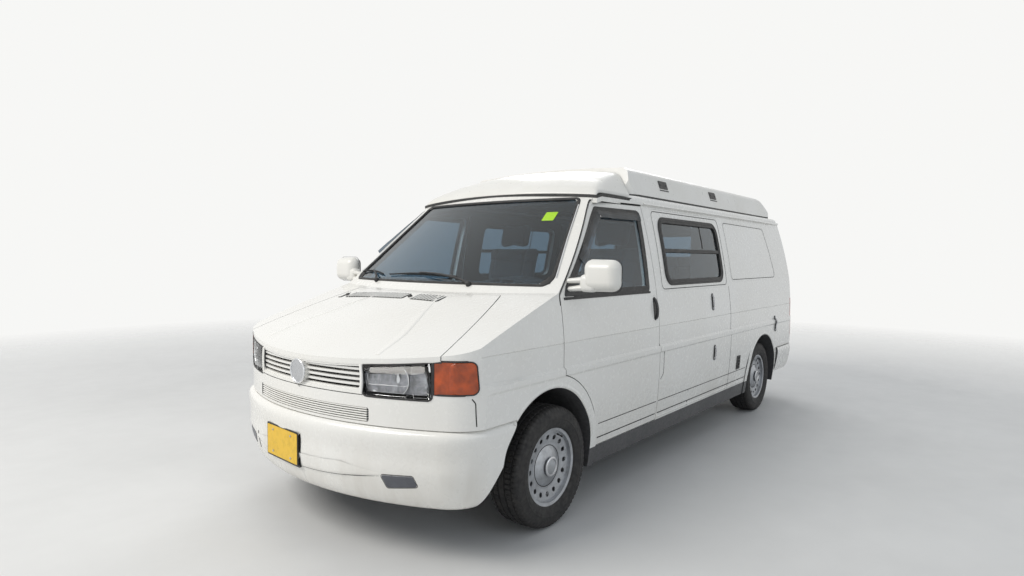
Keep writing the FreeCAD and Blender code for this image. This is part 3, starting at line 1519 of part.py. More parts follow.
def half_section(body, name, corners, dome=None):
    """Closed profile about the wheel's axle; the line before the dome's corner becomes an arc about the axle."""
    sketch = body.newObject("Sketcher::SketchObject", name)
    sketch.AttachmentSupport = (origin_plane(body, "XZ_Plane"), "")
    sketch.MapMode = "FlatFace"
    points = [Vector(*(float(sheet.evalExpression(formula)) for formula in corner), 0) for corner in corners]
    count = len(points)
    for index, point in enumerate(points):
        following = points[(index + 1) % count]
        if index == dome:
            chord = following - point
            reach = point.x
            ball = (reach ** 2 + chord.y ** 2) / (2 * chord.y)
            centre = Vector(0, following.y - ball, 0)
            start = math.atan2(point.y - centre.y, point.x)
            circle = Part.Circle(centre, Vector(0, 0, 1), ball)
            sketch.addGeometry(Part.ArcOfCircle(circle, start, math.pi / 2))
        else:
            sketch.addGeometry(Part.LineSegment(point, following))
    for index in range(count):
        sketch.addConstraint(Sketcher.Constraint("Coincident", index, 2, (index + 1) % count, 1))
        for kind, axis in (("DistanceX", 0), ("DistanceY", 1)):
            if points[index][axis] == 0:
                sketch.addConstraint(Sketcher.Constraint("PointOnObject", index, 1, -2 if axis == 0 else -1))
                continue
            number = sketch.addConstraint(Sketcher.Constraint(kind, -1, 1, index, 1, points[index][axis]))
            sketch.setExpression("Constraints[%d]" % number, rule(corners[index][axis]))
    if dome is not None:
        sketch.addConstraint(Sketcher.Constraint("PointOnObject", dome, 3, -2))
    return sketch


def turned(body, sketch, name):
    """The profile turned round the wheel's axle."""
    solid = body.newObject("PartDesign::Revolution", name)
    solid.Profile = sketch
    solid.ReferenceAxis = (sketch, ["V_Axis"])
    solid.Angle = 360
    body.Tip = solid
    return solid


def rim(label):
    """Pressed wheel: a drop-centre rim, a dished disc and a domed cap."""
    body = doc.addObject("PartDesign::Body", label)
    flange = "rim_flange_radius"
    seat = "rim_seat_radius"
    under = "rim_seat_radius - rim_wall"
    well = "rim_well_radius"
    edge = "rim_half_width"
    wall = "rim_wall"
    cap = "rim_cap_radius"
    hub = "rim_hub_face"
    corners = [(flange, "-" + edge), (flange, "-%s + %s" % (edge, wall)), (seat, "-%s + 1.6 * %s" % (edge, wall)),
               (seat, "-rim_well_half - rim_well_slope"), (well, "-rim_well_half"), (well, "rim_well_half"),
               (seat, "rim_well_half + rim_well_slope"), (seat, "%s - 1.6 * %s" % (edge, wall)),
               (flange, "%s - %s" % (edge, wall)), (flange, edge), (flange + " - " + wall, edge),
               (under, "%s - %s" % (edge, wall)), (under, hub + " + disc_rise"),
               (seat + " - disc_turn", hub + " + disc_rise"),
               (cap + " + cap_step", hub + " + disc_dip"), (cap, hub + " + disc_dip"),
               ("0", hub + " + disc_dip + rim_cap_dome"), ("0", hub), (cap + " + cap_step", hub),
               (seat + " - disc_turn", hub + " + disc_rise - disc_dip"), (under, hub + " + disc_rise - disc_dip"),
               (under, "rim_well_half + rim_well_slope"), (well + " - " + wall, "rim_well_half"),
               (well + " - " + wall, "-rim_well_half"), (under, "-rim_well_half - rim_well_slope"),
               (under, "-%s + %s" % (edge, wall)), (flange + " - " + wall, "-" + edge)]
    turned(body, half_section(body, label + "_profile", corners, corners.index(("rim_cap_radius", hub + " + disc_dip"))),
           label + "_turned")
    circle = body.newObject("Sketcher::SketchObject", label + "_hole")
    circle.AttachmentSupport = (origin_plane(body, "XY_Plane"), "")
    circle.MapMode = "FlatFace"
    circle.addGeometry(Part.Circle(Vector(dim.rim_hole_circle, 0, 0), Vector(0, 0, 1), dim.rim_hole_radius))
    circle.addConstraint(Sketcher.Constraint("PointOnObject", 0, 3, -1))
    for kind, where, size in (("DistanceX", (-1, 1, 0, 3), "rim_hole_circle"), ("Radius", (0,), "rim_hole_radius")):
        number = circle.addConstraint(Sketcher.Constraint(kind, *where, getattr(dim, size)))
        circle.setExpression("Constraints[%d]" % number, rule(size))
    hole = body.newObject("PartDesign::Pocket", label + "_hole_cut")
    hole.Profile = circle
    hole.Type = "ThroughAll"
    hole.Midplane = True
    ring = body.newObject("PartDesign::PolarPattern", label + "_hole_ring")
    ring.Originals = [hole]
    ring.Axis = (circle, ["N_Axis"])
    ring.Angle = 360
    ring.setExpression("Occurrences", rule("rim_holes"))
    body.Tip = ring
    return body


def tyre(label):
    body = doc.addObject("PartDesign::Body", label)
    half = [("rim_seat_radius + seal_gap", "tyre_bead_half"), ("tyre_bulge_radius", "tyre_width / 2"),
            ("tyre_shoulder_radius", "tyre_shoulder_half"), ("hub_height", "tyre_tread_half")]
    corners = half + [(out, "-" + along) for out, along in reversed(half)]
    turned(body, half_section(body, label + "_profile", corners), label + "_turned")
    return body


def keep(label, item):
    item.Label = label
    parts.append(item)


add_shape("body_shell", body_shell())
add_shape("windscreen", windscreen())
add_shape("front_bumper", front_bumper())
add_shape("rear_bumper", rear_bumper())
add_shape("upper_grille", upper_grille())
add_shape("lower_grille", lower_grille())
add_shape("headlamps", headlamps())
add_shape("indicators", indicators())
add_shape("tail_lamps", tail_lamps())
add_shape("bonnet", bonnet())
add_shape("roof_fairing", roof_fairing())
add_shape("pop_top", pop_top())
add_shape("roof_seal", roof_seal())
add_shape("tent_canvas", tent_canvas())
add_shape("sliding_door", sliding_door())
add_shape("side_windows", side_windows())
add_shape("tailgate", tailgate())
add_shape("tailgate_glass", tailgate_glass())
add_shape("dashboard", dashboard())
cabin_skin = loose("cabin_skin", skin.cabin)
for name, side in sides.items():
    add_shape("door_" + name, front_door(side))
    add_shape("door_glass_" + name, door_glass(side))
    keep("mirror_" + name, mirror(name, side))
    keep("knuckle_" + name, knuckle(name, side))
keep("floor_pan", floor_pan())
keep("front_subframe", front_subframe())
keep("rear_axle", rear_axle_beam())
keep("engine_block", engine_block())
keep("driveshafts", driveshafts())
keep("radiator", radiator())
keep("fuel_tank", fuel_tank())
keep("exhaust", exhaust())
keep("steering_wheel", steering_wheel())
keep("seat_frames", seat_frames())
keep("front_seats", front_seats())
keep("rear_bench", rear_bench())
keep("kitchen_cabinet", kitchen_cabinet())
for end, axle in (("front", "front_axle"), ("rear", "rear_axle")):
    for name, side in sides.items():
        for kind, make in (("rim", rim), ("tyre", tyre)):
            wheel = make("%s_%s_%s" % (kind, end, name))
            wheel.Placement = Placement(Vector(), outward(side))
            put(wheel, (axle, beside(side, "track_%s / 2" % end), "hub_height"))
            keep("%s_%s_%s" % (kind, end, name), wheel)

doc.recompute()
for item in doc.Objects:
    if "Invalid" in item.State or "Error" in item.State:
        raise ValueError(item.Label + " did not build")
for item in parts:
    if item.Shape.isNull() or not item.Shape.isValid():
        raise ValueError(item.Label + " is not a valid solid")
os.makedirs("parts", exist_ok=True)
for item in parts:
    print(item.Label, round(item.Shape.Volume / 1e6, 3), len(item.Shape.Solids))
    item.Shape.exportStep(os.path.join("parts", item.Label + ".step"))
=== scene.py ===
import json
import math
import bpy
import bmesh
from mathutils import Matrix, Vector
from mathutils.bvhtree import BVHTree


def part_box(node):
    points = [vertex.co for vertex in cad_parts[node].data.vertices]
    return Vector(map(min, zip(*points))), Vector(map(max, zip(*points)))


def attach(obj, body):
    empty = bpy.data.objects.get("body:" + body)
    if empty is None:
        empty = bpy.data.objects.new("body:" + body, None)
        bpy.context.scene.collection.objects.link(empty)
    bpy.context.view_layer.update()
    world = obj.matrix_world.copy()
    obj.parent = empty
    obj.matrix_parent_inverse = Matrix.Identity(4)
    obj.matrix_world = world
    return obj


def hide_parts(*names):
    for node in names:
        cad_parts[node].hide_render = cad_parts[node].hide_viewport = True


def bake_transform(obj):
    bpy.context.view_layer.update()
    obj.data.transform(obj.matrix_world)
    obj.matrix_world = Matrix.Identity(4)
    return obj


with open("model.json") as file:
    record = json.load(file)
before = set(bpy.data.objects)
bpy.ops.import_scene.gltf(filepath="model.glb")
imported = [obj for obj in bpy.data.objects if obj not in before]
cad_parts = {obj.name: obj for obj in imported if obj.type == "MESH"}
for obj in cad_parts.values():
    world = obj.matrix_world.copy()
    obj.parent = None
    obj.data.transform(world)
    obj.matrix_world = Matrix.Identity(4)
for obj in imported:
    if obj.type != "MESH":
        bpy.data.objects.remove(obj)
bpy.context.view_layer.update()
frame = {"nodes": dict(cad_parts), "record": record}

bpy.context.scene.view_settings.view_transform = "Standard"
nodes = frame["nodes"]
frontAxle = -1.6645  # where the front wheels stand along X
sides = {"left": -1, "right": 1}
print("van loaded:", len(nodes), "nodes")


def at(back):
    return frontAxle + back  # metres behind the front axle


# camera, worked out from the photograph's own perspective

camera = {"place": (-4.314, -2.7314, 1.3947), "yaw": 38.764, "pitch": -2.72, "roll": 0.45, "lens": 22.24}


def addCamera():
    yaw, pitch, roll = (math.radians(camera[k]) for k in ("yaw", "pitch", "roll"))
    ahead = Vector((math.cos(pitch) * math.cos(yaw), math.cos(pitch) * math.sin(yaw), math.sin(pitch)))
    level = Vector((math.sin(yaw), -math.cos(yaw), 0))
    over = level.cross(ahead)
    right = level * math.cos(roll) + over * math.sin(roll)
    up = over * math.cos(roll) - level * math.sin(roll)
    data = bpy.data.cameras.new("camera")
    data.sensor_width = 36
    data.lens = camera["lens"]
    data.clip_end = 200
    cam = bpy.data.objects.new("camera", data)
    cam.matrix_world = Matrix((right, up, -ahead)).transposed().to_4x4()
    cam.matrix_world.translation = Vector(camera["place"])
    bpy.context.scene.collection.objects.link(cam)
    bpy.context.scene.camera = cam


addCamera()


# material building blocks

class Finish:
    def __init__(self, name):
        self.mat = bpy.data.materials.new(name)
        self.mat.use_nodes = True
        self.tree = self.mat.node_tree
        self.shader = self.tree.nodes["Principled BSDF"]
        self.out = self.tree.nodes["Material Output"]
        given = self.tree.nodes.new("ShaderNodeTexCoord").outputs
        self.where = given["Object"]
        self.facing = given["Normal"]

    def node(self, kind, **values):
        made = self.tree.nodes.new(kind)
        for key, value in values.items():
            if hasattr(made, key):
                setattr(made, key, value)
            else:
                made.inputs[key.replace("_", " ")].default_value = value
        return made

    def link(self, a, b):
        self.tree.links.new(a, b)

    def put(self, **values):
        for key, value in values.items():
            self.shader.inputs[key.replace("_", " ")].default_value = value
        return self

    def stretched(self, scale):
        mapping = self.node("ShaderNodeMapping")
        mapping.inputs["Scale"].default_value = scale
        self.link(self.where, mapping.inputs["Vector"])
        return mapping.outputs["Vector"]

    def noise(self, scale, detail=4.0, rough=0.55, stretch=None):
        made = self.node("ShaderNodeTexNoise", Scale=scale, Detail=detail, Roughness=rough)
        self.link(self.stretched(stretch) if stretch else self.where, made.inputs["Vector"])
        return made.outputs["Fac"]

    def cells(self, scale, feature="F1", stretch=None):
        made = self.node("ShaderNodeTexVoronoi", Scale=scale, feature=feature)
        self.link(self.stretched(stretch) if stretch else self.where, made.inputs["Vector"])
        return made.outputs["Distance"]

    def waves(self, scale, direction="X", distortion=0.0, profile="SIN", detailScale=1.0):
        made = self.node("ShaderNodeTexWave", Scale=scale, Distortion=distortion, bands_direction=direction,
                         wave_profile=profile)
        made.inputs["Detail Scale"].default_value = detailScale
        self.link(self.where, made.inputs["Vector"])
        return made.outputs["Fac"]

    def band(self, value, low, high, toLow=0.0, toHigh=1.0):
        made = self.node("ShaderNodeMapRange")
        made.inputs["From Min"].default_value = low
        made.inputs["From Max"].default_value = high
        made.inputs["To Min"].default_value = toLow
        made.inputs["To Max"].default_value = toHigh
        self.link(value, made.inputs["Value"])
        return made.outputs["Result"]

    def coordinates(self):
        made = self.node("ShaderNodeSeparateXYZ")
        self.link(self.where, made.inputs["Vector"])
        return made.outputs

    def times(self, a, b, operation="MULTIPLY"):
        made = self.node("ShaderNodeMath", operation=operation)
        for index, value in enumerate((a, b)):
            if isinstance(value, (int, float)):
                made.inputs[index].default_value = value
            else:
                self.link(value, made.inputs[index])
        return made.outputs[0]

    def mix(self, factor, a, b):
        made = self.node("ShaderNodeMix", data_type="RGBA")
        if isinstance(factor, (int, float)):
            made.inputs[0].default_value = factor
        else:
            self.link(factor, made.inputs[0])
        for index, value in ((6, a), (7, b)):
            if isinstance(value, tuple):
                made.inputs[index].default_value = (*value, 1)
            else:
                self.link(value, made.inputs[index])
        return made.outputs[2]

    def color(self, value):
        if isinstance(value, tuple):
            self.shader.inputs["Base Color"].default_value = (*value, 1)
        else:
            self.link(value, self.shader.inputs["Base Color"])
        return self

    def rough(self, value):
        self.link(value, self.shader.inputs["Roughness"])
        return self

    def bump(self, value, strength, distance=0.001, after=None):
        made = self.node("ShaderNodeBump", Strength=strength, Distance=distance)
        self.link(value, made.inputs["Height"])
        if after is not None:
            self.link(after, made.inputs["Normal"])
        self.link(made.outputs["Normal"], self.shader.inputs["Normal"])
        return made.outputs["Normal"]

    def blackZonesAndPaintedShade(self):
        # 1 where the panel faces into the van (a dark lining tone, which on the inner walls of grooves, gutters and
        # shut gaps is painted shade), in the wheel arches, at the foot of the sill and below the floor
        place = self.coordinates()
        split = self.node("ShaderNodeSeparateXYZ")
        self.link(self.facing, split.inputs["Vector"])
        facing = split.outputs
        along = self.times(facing["X"], self.times(place["X"], 0.4))
        across = self.times(facing["Y"], self.times(place["Y"], 1.1))
        mask = self.band(self.times(along, across, "ADD"), -0.16, -0.30)
        for back, height, radius in zip(paint["archBack"], paint["archHeight"], paint["archRadius"]):
            x = self.times(place["X"], frontAxle + back, "SUBTRACT")
            z = self.times(place["Z"], height, "SUBTRACT")
            reach = self.times(self.times(self.times(x, x), self.times(z, z), "ADD"), 0.5, "POWER")
            inside = self.times(self.times(reach, radius, "LESS_THAN"),
                                self.times(self.times(place["Y"], 0.0, "ABSOLUTE"), paint["archDepth"], "LESS_THAN"))
            mask = self.times(mask, inside, "MAXIMUM")
        # the foot of the sill between the wheels is painted black: painted shade that stands for the shadow under
        # the sill
        between = self.times(self.times(place["X"], frontAxle + paint["sillMiddle"], "SUBTRACT"), 0.0, "ABSOLUTE")
        foot = self.times(self.times(between, paint["sillHalf"], "LESS_THAN"),
                          self.times(place["Z"], paint["sillShadeTop"], "LESS_THAN"))
        mask = self.times(mask, foot, "MAXIMUM")
        below = self.times(self.times(facing["Z"], -0.92, "LESS_THAN"),
                           self.times(place["Z"], paint["floorTop"], "LESS_THAN"))
        return self.times(mask, below, "MAXIMUM")

    def shadowless(self):
        # glass lets the lamps through to what is behind it
        clear = self.node("ShaderNodeBsdfTransparent")
        path = self.node("ShaderNodeLightPath")
        blend = self.node("ShaderNodeMixShader")
        self.link(path.outputs["Is Shadow Ray"], blend.inputs[0])
        self.link(self.shader.outputs[0], blend.inputs[1])
        self.link(clear.outputs[0], blend.inputs[2])
        self.link(blend.outputs[0], self.out.inputs["Surface"])
        return self


paint = {"fresh": (0.86, 0.85, 0.815), "sunned": (0.82, 0.805, 0.76), "dust": (0.42, 0.37, 0.30),
         "dustTop": 0.62, "orangePeel": 0.02, "gloss": 0.14, "liningAndShade": (0.10, 0.10, 0.105),
         "undersealAndShade": (0.03, 0.03, 0.03),
         "archBack": (-0.055, 3.320), "archHeight": (0.339, 0.330), "archRadius": (0.3995, 0.3815),
         "sillShadeTop": 0.335, "archDepth": 0.93, "sillMiddle": 1.62, "sillHalf": 1.45, "floorTop": 0.60}


def paintedSteel(name, tone=paint):
    f = Finish(name)
    cloud = f.band(f.noise(1.6, 3), 0.35, 0.7)
    base = f.mix(cloud, tone["fresh"], tone["sunned"])
    low = f.band(f.coordinates()["Z"], tone["dustTop"], 0.22)
    streaks = f.noise(7.0, 6, 0.65, (1, 1, 0.14))
    grime = f.times(low, f.band(streaks, 0.42, 0.72))
    specks = f.band(f.cells(260), 0.10, 0.03)
    grime = f.times(grime, f.times(specks, 0.03), "ADD")
    dirt = f.band(grime, 0.0, 1.0, 0.0, 0.42)
    # masked zones take a dark tone: black lining, arch liners and underseal, plus painted shade in grooves, gaps and
    # under the sill
    shade = f.blackZonesAndPaintedShade()
    f.color(f.mix(shade, f.mix(dirt, base, tone["dust"]), f.mix(f.noise(60, 4), tone["liningAndShade"], tone["undersealAndShade"])))
    gloss = f.band(f.times(grime, f.noise(40, 3), "ADD"), 0.2, 1.4, tone["gloss"], 0.55)
    f.rough(f.times(gloss, f.times(shade, 0.6), "ADD"))
    f.put(Coat_Weight=0.5, Coat_Roughness=0.06, Specular_IOR_Level=0.45)
    peel = f.bump(f.noise(420, 2), tone["orangePeel"], 0.0003)
    f.bump(f.noise(3.0, 2), 0.03, 0.004, peel)
    return f.mat


def mouldedShell(name):
    f = Finish(name)
    base = f.mix(f.band(f.noise(2.2, 4), 0.3, 0.75), (0.83, 0.82, 0.785), (0.76, 0.745, 0.69))
    soot = f.band(f.noise(5.0, 7, 0.7, (1, 1, 0.3)), 0.55, 0.85)
    f.color(f.mix(f.times(soot, 0.22), base, (0.45, 0.42, 0.36)))
    f.rough(f.band(f.noise(30, 4), 0.3, 0.7, 0.26, 0.44))
    f.put(Coat_Weight=0.35, Coat_Roughness=0.15)
    weave = f.bump(f.noise(260, 2), 0.08, 0.0006)
    f.bump(f.noise(9, 2), 0.05, 0.003, weave)
    return f.mat


def blackRubber(name, grey=0.016, sheen=0.45):
    f = Finish(name)
    bloom = f.band(f.noise(22, 5, 0.7), 0.45, 0.8)
    f.color(f.mix(f.times(bloom, 0.5), (grey, grey, grey * 1.04), (grey * 5, grey * 4.8, grey * 4.6)))
    f.rough(f.band(f.noise(60, 4), 0.3, 0.7, sheen, sheen + 0.25))
    f.bump(f.noise(900, 3), 0.12, 0.0004)
    return f.mat


def grainedPlastic(name, tone=(0.02, 0.02, 0.021), roughness=0.5, grain=520):
    f = Finish(name)
    worn = f.band(f.noise(11, 5, 0.6), 0.4, 0.8)
    lighter = tuple(min(1.0, c * 1.5 + 0.012) for c in tone)
    f.color(f.mix(worn, tone, lighter))
    f.rough(f.band(f.noise(35, 3), 0.3, 0.7, roughness - 0.08, roughness + 0.12))
    f.bump(f.cells(grain), 0.25, 0.0005)
    return f.mat


def safetyGlass(name, tint=(0.60, 0.70, 0.70), film=0.12):
    f = Finish(name)
    haze = f.band(f.noise(6, 6, 0.7), 0.5, 0.9, 0.0, film)
    f.color(tint)
    f.rough(f.band(haze, 0, 1, 0.0, 0.25))
    f.put(Transmission_Weight=1.0, IOR=1.45, Specular_IOR_Level=0.5)
    f.bump(f.noise(2.5, 1), 0.02, 0.002)
    return f.shadowless().mat


def mirrorMetal(name, tone=(0.75, 0.76, 0.78), roughness=0.08):
    f = Finish(name)
    f.color(f.mix(f.band(f.noise(40, 6, 0.7), 0.55, 0.8), tone, tuple(c * 0.7 for c in tone)))
    f.rough(f.band(f.noise(90, 5), 0.35, 0.75, roughness, roughness + 0.14))
    f.put(Metallic=1.0)
    f.bump(f.noise(700, 2), 0.03, 0.0003)
    return f.mat


def wheelPaint(name):
    f = Finish(name)
    brakeDust = f.band(f.noise(14, 6, 0.7), 0.35, 0.8)
    f.color(f.mix(f.times(brakeDust, 0.55), (0.46, 0.48, 0.51), (0.10, 0.09, 0.08)))
    f.rough(f.band(f.noise(50, 4), 0.3, 0.7, 0.30, 0.55))
    f.put(Metallic=0.75, Coat_Weight=0.25)
    f.bump(f.noise(500, 3), 0.10, 0.0004)
    return f.mat


def roadTyre(name):
    f = Finish(name)
    dust = f.band(f.noise(18, 6, 0.7), 0.4, 0.8)
    f.color(f.mix(f.times(dust, 0.45), (0.014, 0.014, 0.015), (0.085, 0.078, 0.07)))
    f.rough(f.band(f.noise(45, 4), 0.3, 0.7, 0.62, 0.88))
    f.bump(f.noise(700, 3), 0.25, 0.0006)
    return f.mat


def chassisMetal(name, tone=(0.035, 0.035, 0.037), rust=0.35, metallic=0.0, roughness=0.55):
    f = Finish(name)
    stain = f.band(f.noise(9, 8, 0.72), 0.52, 0.78)
    f.color(f.mix(f.times(stain, rust), tone, (0.16, 0.075, 0.035)))
    f.rough(f.band(f.noise(30, 5), 0.3, 0.7, roughness - 0.1, roughness + 0.25))
    f.put(Metallic=metallic)
    f.bump(f.noise(240, 5), 0.35, 0.001)
    return f.mat


def wovenCloth(name, tone, thread, scale=420, sheen=0.35):
    f = Finish(name)
    warp = f.waves(scale, "X", 0.6)
    weft = f.waves(scale, "Y", 0.6)
    rise = f.waves(scale, "Z", 0.6)
    weave = f.times(f.times(warp, weft, "MAXIMUM"), f.times(rise, 0.5), "ADD")
    base = f.mix(f.band(weave, 0.4, 1.3), tone, thread)
    wear = f.band(f.noise(5, 4), 0.4, 0.75)
    f.color(f.mix(f.times(wear, 0.3), base, tuple(min(1.0, c * 1.35 + 0.02) for c in thread)))
    f.rough(f.band(f.noise(20, 3), 0.3, 0.7, 0.78, 0.95))
    f.put(Sheen_Weight=sheen, Sheen_Roughness=0.5)
    first = f.bump(weave, 0.35, 0.0008)
    f.bump(f.noise(14, 3), 0.12, 0.004, first)
    return f.mat


def colouredLens(name, tone, ribs=0.0, depth=0.6):
    f = Finish(name)
    f.color(f.mix(f.band(f.noise(16, 4), 0.35, 0.68), tone, tuple(c * 0.45 for c in tone)))
    f.rough(f.band(f.noise(60, 3), 0.3, 0.7, 0.08, 0.2))
    f.put(Transmission_Weight=depth, IOR=1.49, Coat_Weight=0.5, Coat_Roughness=0.05)
    f.bump(f.waves(ribs if ribs else 90, "Z", 0.0), 0.35 if ribs else 0.05, 0.001)
    return f.mat


def laminate(name, tone, fleck):
    f = Finish(name)
    grain = f.noise(6, 8, 0.65, (1, 1, 9))
    f.color(f.mix(f.band(grain, 0.35, 0.7), tone, fleck))
    f.rough(f.band(f.noise(30, 3), 0.3, 0.7, 0.32, 0.5))
    f.bump(grain, 0.06, 0.001)
    return f.mat


finishes = {
    "body_paint": paintedSteel("cream body paint"),
    "roof_shell_paint": mouldedShell("roof gelcoat"),
    "window_glass": safetyGlass("tinted window glass", (0.25, 0.34, 0.41)),
    "lamp_glass": safetyGlass("headlamp lens", (0.96, 0.97, 0.98), 0.05),
    "amber_lens": colouredLens("amber lens", (0.72, 0.105, 0.008), 60, 0.2),
    "red_lens": colouredLens("red lens", (0.55, 0.012, 0.012), 60, 0.3),
    "black_trim": grainedPlastic("black trim plastic"),
    "seal_rubber": blackRubber("seal rubber"),
    "tyre_rubber": roadTyre("tyre rubber"),
    "wheel_paint": wheelPaint("silver wheel paint"),
    "chassis_steel": chassisMetal("underbody black"),
    "hub_iron": chassisMetal("hub iron", (0.10, 0.095, 0.09), 0.8, 0.6, 0.5),
    "engine_alloy": chassisMetal("dull cast alloy", (0.20, 0.20, 0.205), 0.15, 0.7, 0.45),
    "exhaust_steel": chassisMetal("exhaust steel", (0.24, 0.22, 0.20), 0.7, 0.8, 0.45),
    "tank_plastic": grainedPlastic("tank plastic", (0.022, 0.022, 0.024), 0.55, 300),
    "tent_fabric": wovenCloth("tent canvas", (0.40, 0.38, 0.33), (0.50, 0.48, 0.42), 500, 0.15),
    "seat_fabric": wovenCloth("grey seat cloth", (0.055, 0.06, 0.072), (0.12, 0.125, 0.14), 420),
    "dash_plastic": grainedPlastic("dashboard plastic", (0.055, 0.057, 0.062), 0.55, 420),
    "cabinet_board": laminate("cabinet laminate", (0.50, 0.48, 0.44), (0.42, 0.40, 0.36)),
}

for part in frame["record"]["subparts"]:
    mesh = nodes[part["node"]].data
    mesh.materials.clear()
    mesh.materials.append(finishes[part["material_slot"]])
print("finishes made:", len(finishes))


# shape helpers

trees = {}


def treeOf(name):
    if name not in trees:
        mesh = nodes[name].data
        corners = [v.co.copy() for v in mesh.vertices]
        trees[name] = BVHTree.FromPolygons(corners, [tuple(p.vertices) for p in mesh.polygons])
    return trees[name]


# the first surface of the named nodes that a ray meets: its point and its normal
def touch(names, start, ahead):
    best = None
    for name in names:
        point, normal, _, distance = treeOf(name).ray_cast(start, ahead)
        if point is not None and (best is None or distance < best[2]):
            best = (point, normal if normal.dot(ahead) < 0 else -normal, distance)
    if best is None:
        raise ValueError("no surface of %s ahead of %s" % (names, tuple(start)))
    return best[0], best[1]


# where a flat pair of numbers starts from, and which way it is cast
looks = {
    "left": lambda a, b: (Vector((a, -3, b)), Vector((0, 1, 0))),
    "right": lambda a, b: (Vector((a, 3, b)), Vector((0, -1, 0))),
    "front": lambda a, b: (Vector((-4, a, b)), Vector((1, 0, 0))),
    "rear": lambda a, b: (Vector((4, a, b)), Vector((-1, 0, 0))),
    "top": lambda a, b: (Vector((a, b, 4)), Vector((0, 0, -1))),
    "inner left": lambda a, b: (Vector((a, -0.55, b)), Vector((0, -1, 0))),  # from the cab, out to the door
    "inner right": lambda a, b: (Vector((a, 0.55, b)), Vector((0, 1, 0))),
}


def onto(look, names, flat):
    return [touch(names, *looks[look](a, b)) for a, b in flat]


def smoothed(mesh, angle):
    mesh.polygons.foreach_set("use_smooth", [True] * len(mesh.polygons))
    mesh.set_sharp_from_angle(angle=math.radians(angle))


def placed(name, mesh, body):
    piece = bpy.data.objects.new(name.replace(" ", "_"), mesh)
    bpy.context.scene.collection.objects.link(piece)
    if body:
        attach(piece, body)
    return piece


# stands for a CAD node, which it hides
def standsFor(node):
    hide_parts(node)


def newPiece(name, verts, faces, finish, body="body", smooth=38, closed=True):
    mesh = bpy.data.meshes.new(name)
    mesh.from_pydata([tuple(v) for v in verts], [], faces)
    if closed:
        work = bmesh.new()
        work.from_mesh(mesh)
        bmesh.ops.recalc_face_normals(work, faces=work.faces)
        work.to_mesh(mesh)
        work.free()
    mesh.materials.append(finish)
    smoothed(mesh, smooth)
    return placed(name, mesh, body)


# faces between rings of points that follow each other
def ringFaces(count, width):
    return [(i * width + k, i * width + (k + 1) % width, (i + 1) * width + (k + 1) % width, (i + 1) * width + k)
            for i in range(count - 1) for k in range(width)]


# points round the corners, each rounded, with long runs divided
def roundedLoop(corners, radius, step=0.03, closed=True):
    arcs = []
    count = len(corners)
    for index, corner in enumerate(corners):
        here = Vector(corner)
        if not closed and index in (0, count - 1):
            arcs.append([here])
            continue
        before = Vector(corners[index - 1]) - here
        after = Vector(corners[(index + 1) % count]) - here
        turn = max(before.angle(after), 0.05)
        reach = min(radius / math.tan(turn / 2), before.length * 0.48, after.length * 0.48)
        bend = reach * math.tan(turn / 2)
        centre = here + (before.normalized() + after.normalized()).normalized() * (bend / math.sin(turn / 2))
        first = here + before.normalized() * reach - centre
        last = here + after.normalized() * reach - centre
        parts = max(2, int(math.degrees(math.pi - turn) / 12))
        start = math.atan2(first.y, first.x)
        sweepBy = (math.atan2(last.y, last.x) - start + math.pi) % (2 * math.pi) - math.pi
        arcs.append([centre + Vector((math.cos(start + sweepBy * k / parts), math.sin(start + sweepBy * k / parts)))
                     * bend for k in range(parts + 1)])
    points = []
    for index, arc in enumerate(arcs):
        points.extend(arc)
        if index == count - 1 and not closed:
            break
        end = arcs[(index + 1) % count][0]
        run = (end - arc[-1]).length
        pieces = int(run / step)
        points.extend(arc[-1].lerp(end, k / pieces) for k in range(1, pieces))
    return points


def grown(points, by):
    middle = sum(points, Vector((0, 0))) / len(points)
    out = []
    for index, point in enumerate(points):
        along = points[(index + 1) % len(points)] - points[index - 1]
        off = Vector((along.y, -along.x)).normalized()
        if off.dot(point - middle) < 0:
            off = -off
        out.append(point + off * by)
    return out


# section of a flat strip: how far it reaches in and out from its line, and how proud it stands
def band(inner, outer, height, edge=0.002, sink=0.002):
    return [(-inner, -sink), (-inner, height - edge), (-inner + edge, height), (outer - edge, height),
            (outer, height - edge), (outer, -sink)]


def roundBar(radius, sides=10):
    return [(radius * math.cos(2 * math.pi * k / sides), radius * math.sin(2 * math.pi * k / sides))
            for k in range(sides)]


# carries a section along a path of (point, surface normal) pairs; its first axis points outwards
def sweep(name, path, section, finish, body="body", closed=True, taper=None, smooth=38):
    count = len(path)
    rings = []
    middle = sum((p for p, _ in path), Vector()) / count
    flip = None
    for index, (point, out) in enumerate(path):
        if closed:
            ahead = path[(index + 1) % count][0] - path[index - 1][0]
        else:
            ahead = path[min(index + 1, count - 1)][0] - path[max(index - 1, 0)][0]
        across = ahead.cross(out).normalized()
        if flip is None:
            flip = -1 if closed and across.dot(point - middle) < 0 else 1
        across *= flip
        size = taper(index / (count - 1)) if taper else 1.0
        rings.append([point + across * (u * size) + out * (w * size) for u, w in section])
    verts = [v for ring in rings for v in ring]
    width = len(section)
    faces = []
    for i in range(count if closed else count - 1):
        j = (i + 1) % count
        for k in range(width):
            n = (k + 1) % width
            faces.append((i * width + k, i * width + n, j * width + n, j * width + k))
    if not closed:
        faces.append(tuple(range(width)))
        faces.append(tuple((count - 1) * width + k for k in range(width)))
    return newPiece(name, verts, faces, finish, body, smooth)


# a strip laid round an opening, on the surface found a little outside it
def gasket(name, look, names, corners, radius, section, finish, body="body", cast=0.0, step=0.03):
    flat = grown(roundedLoop(corners, radius, step), cast)
    return sweep(name, onto(look, names, flat), section, finish, body)


def trimLine(name, look, names, corners, radius, section, finish, body="body", step=0.03):
    return sweep(name, onto(look, names, roundedLoop(corners, radius, step, False)), section, finish, body, False)


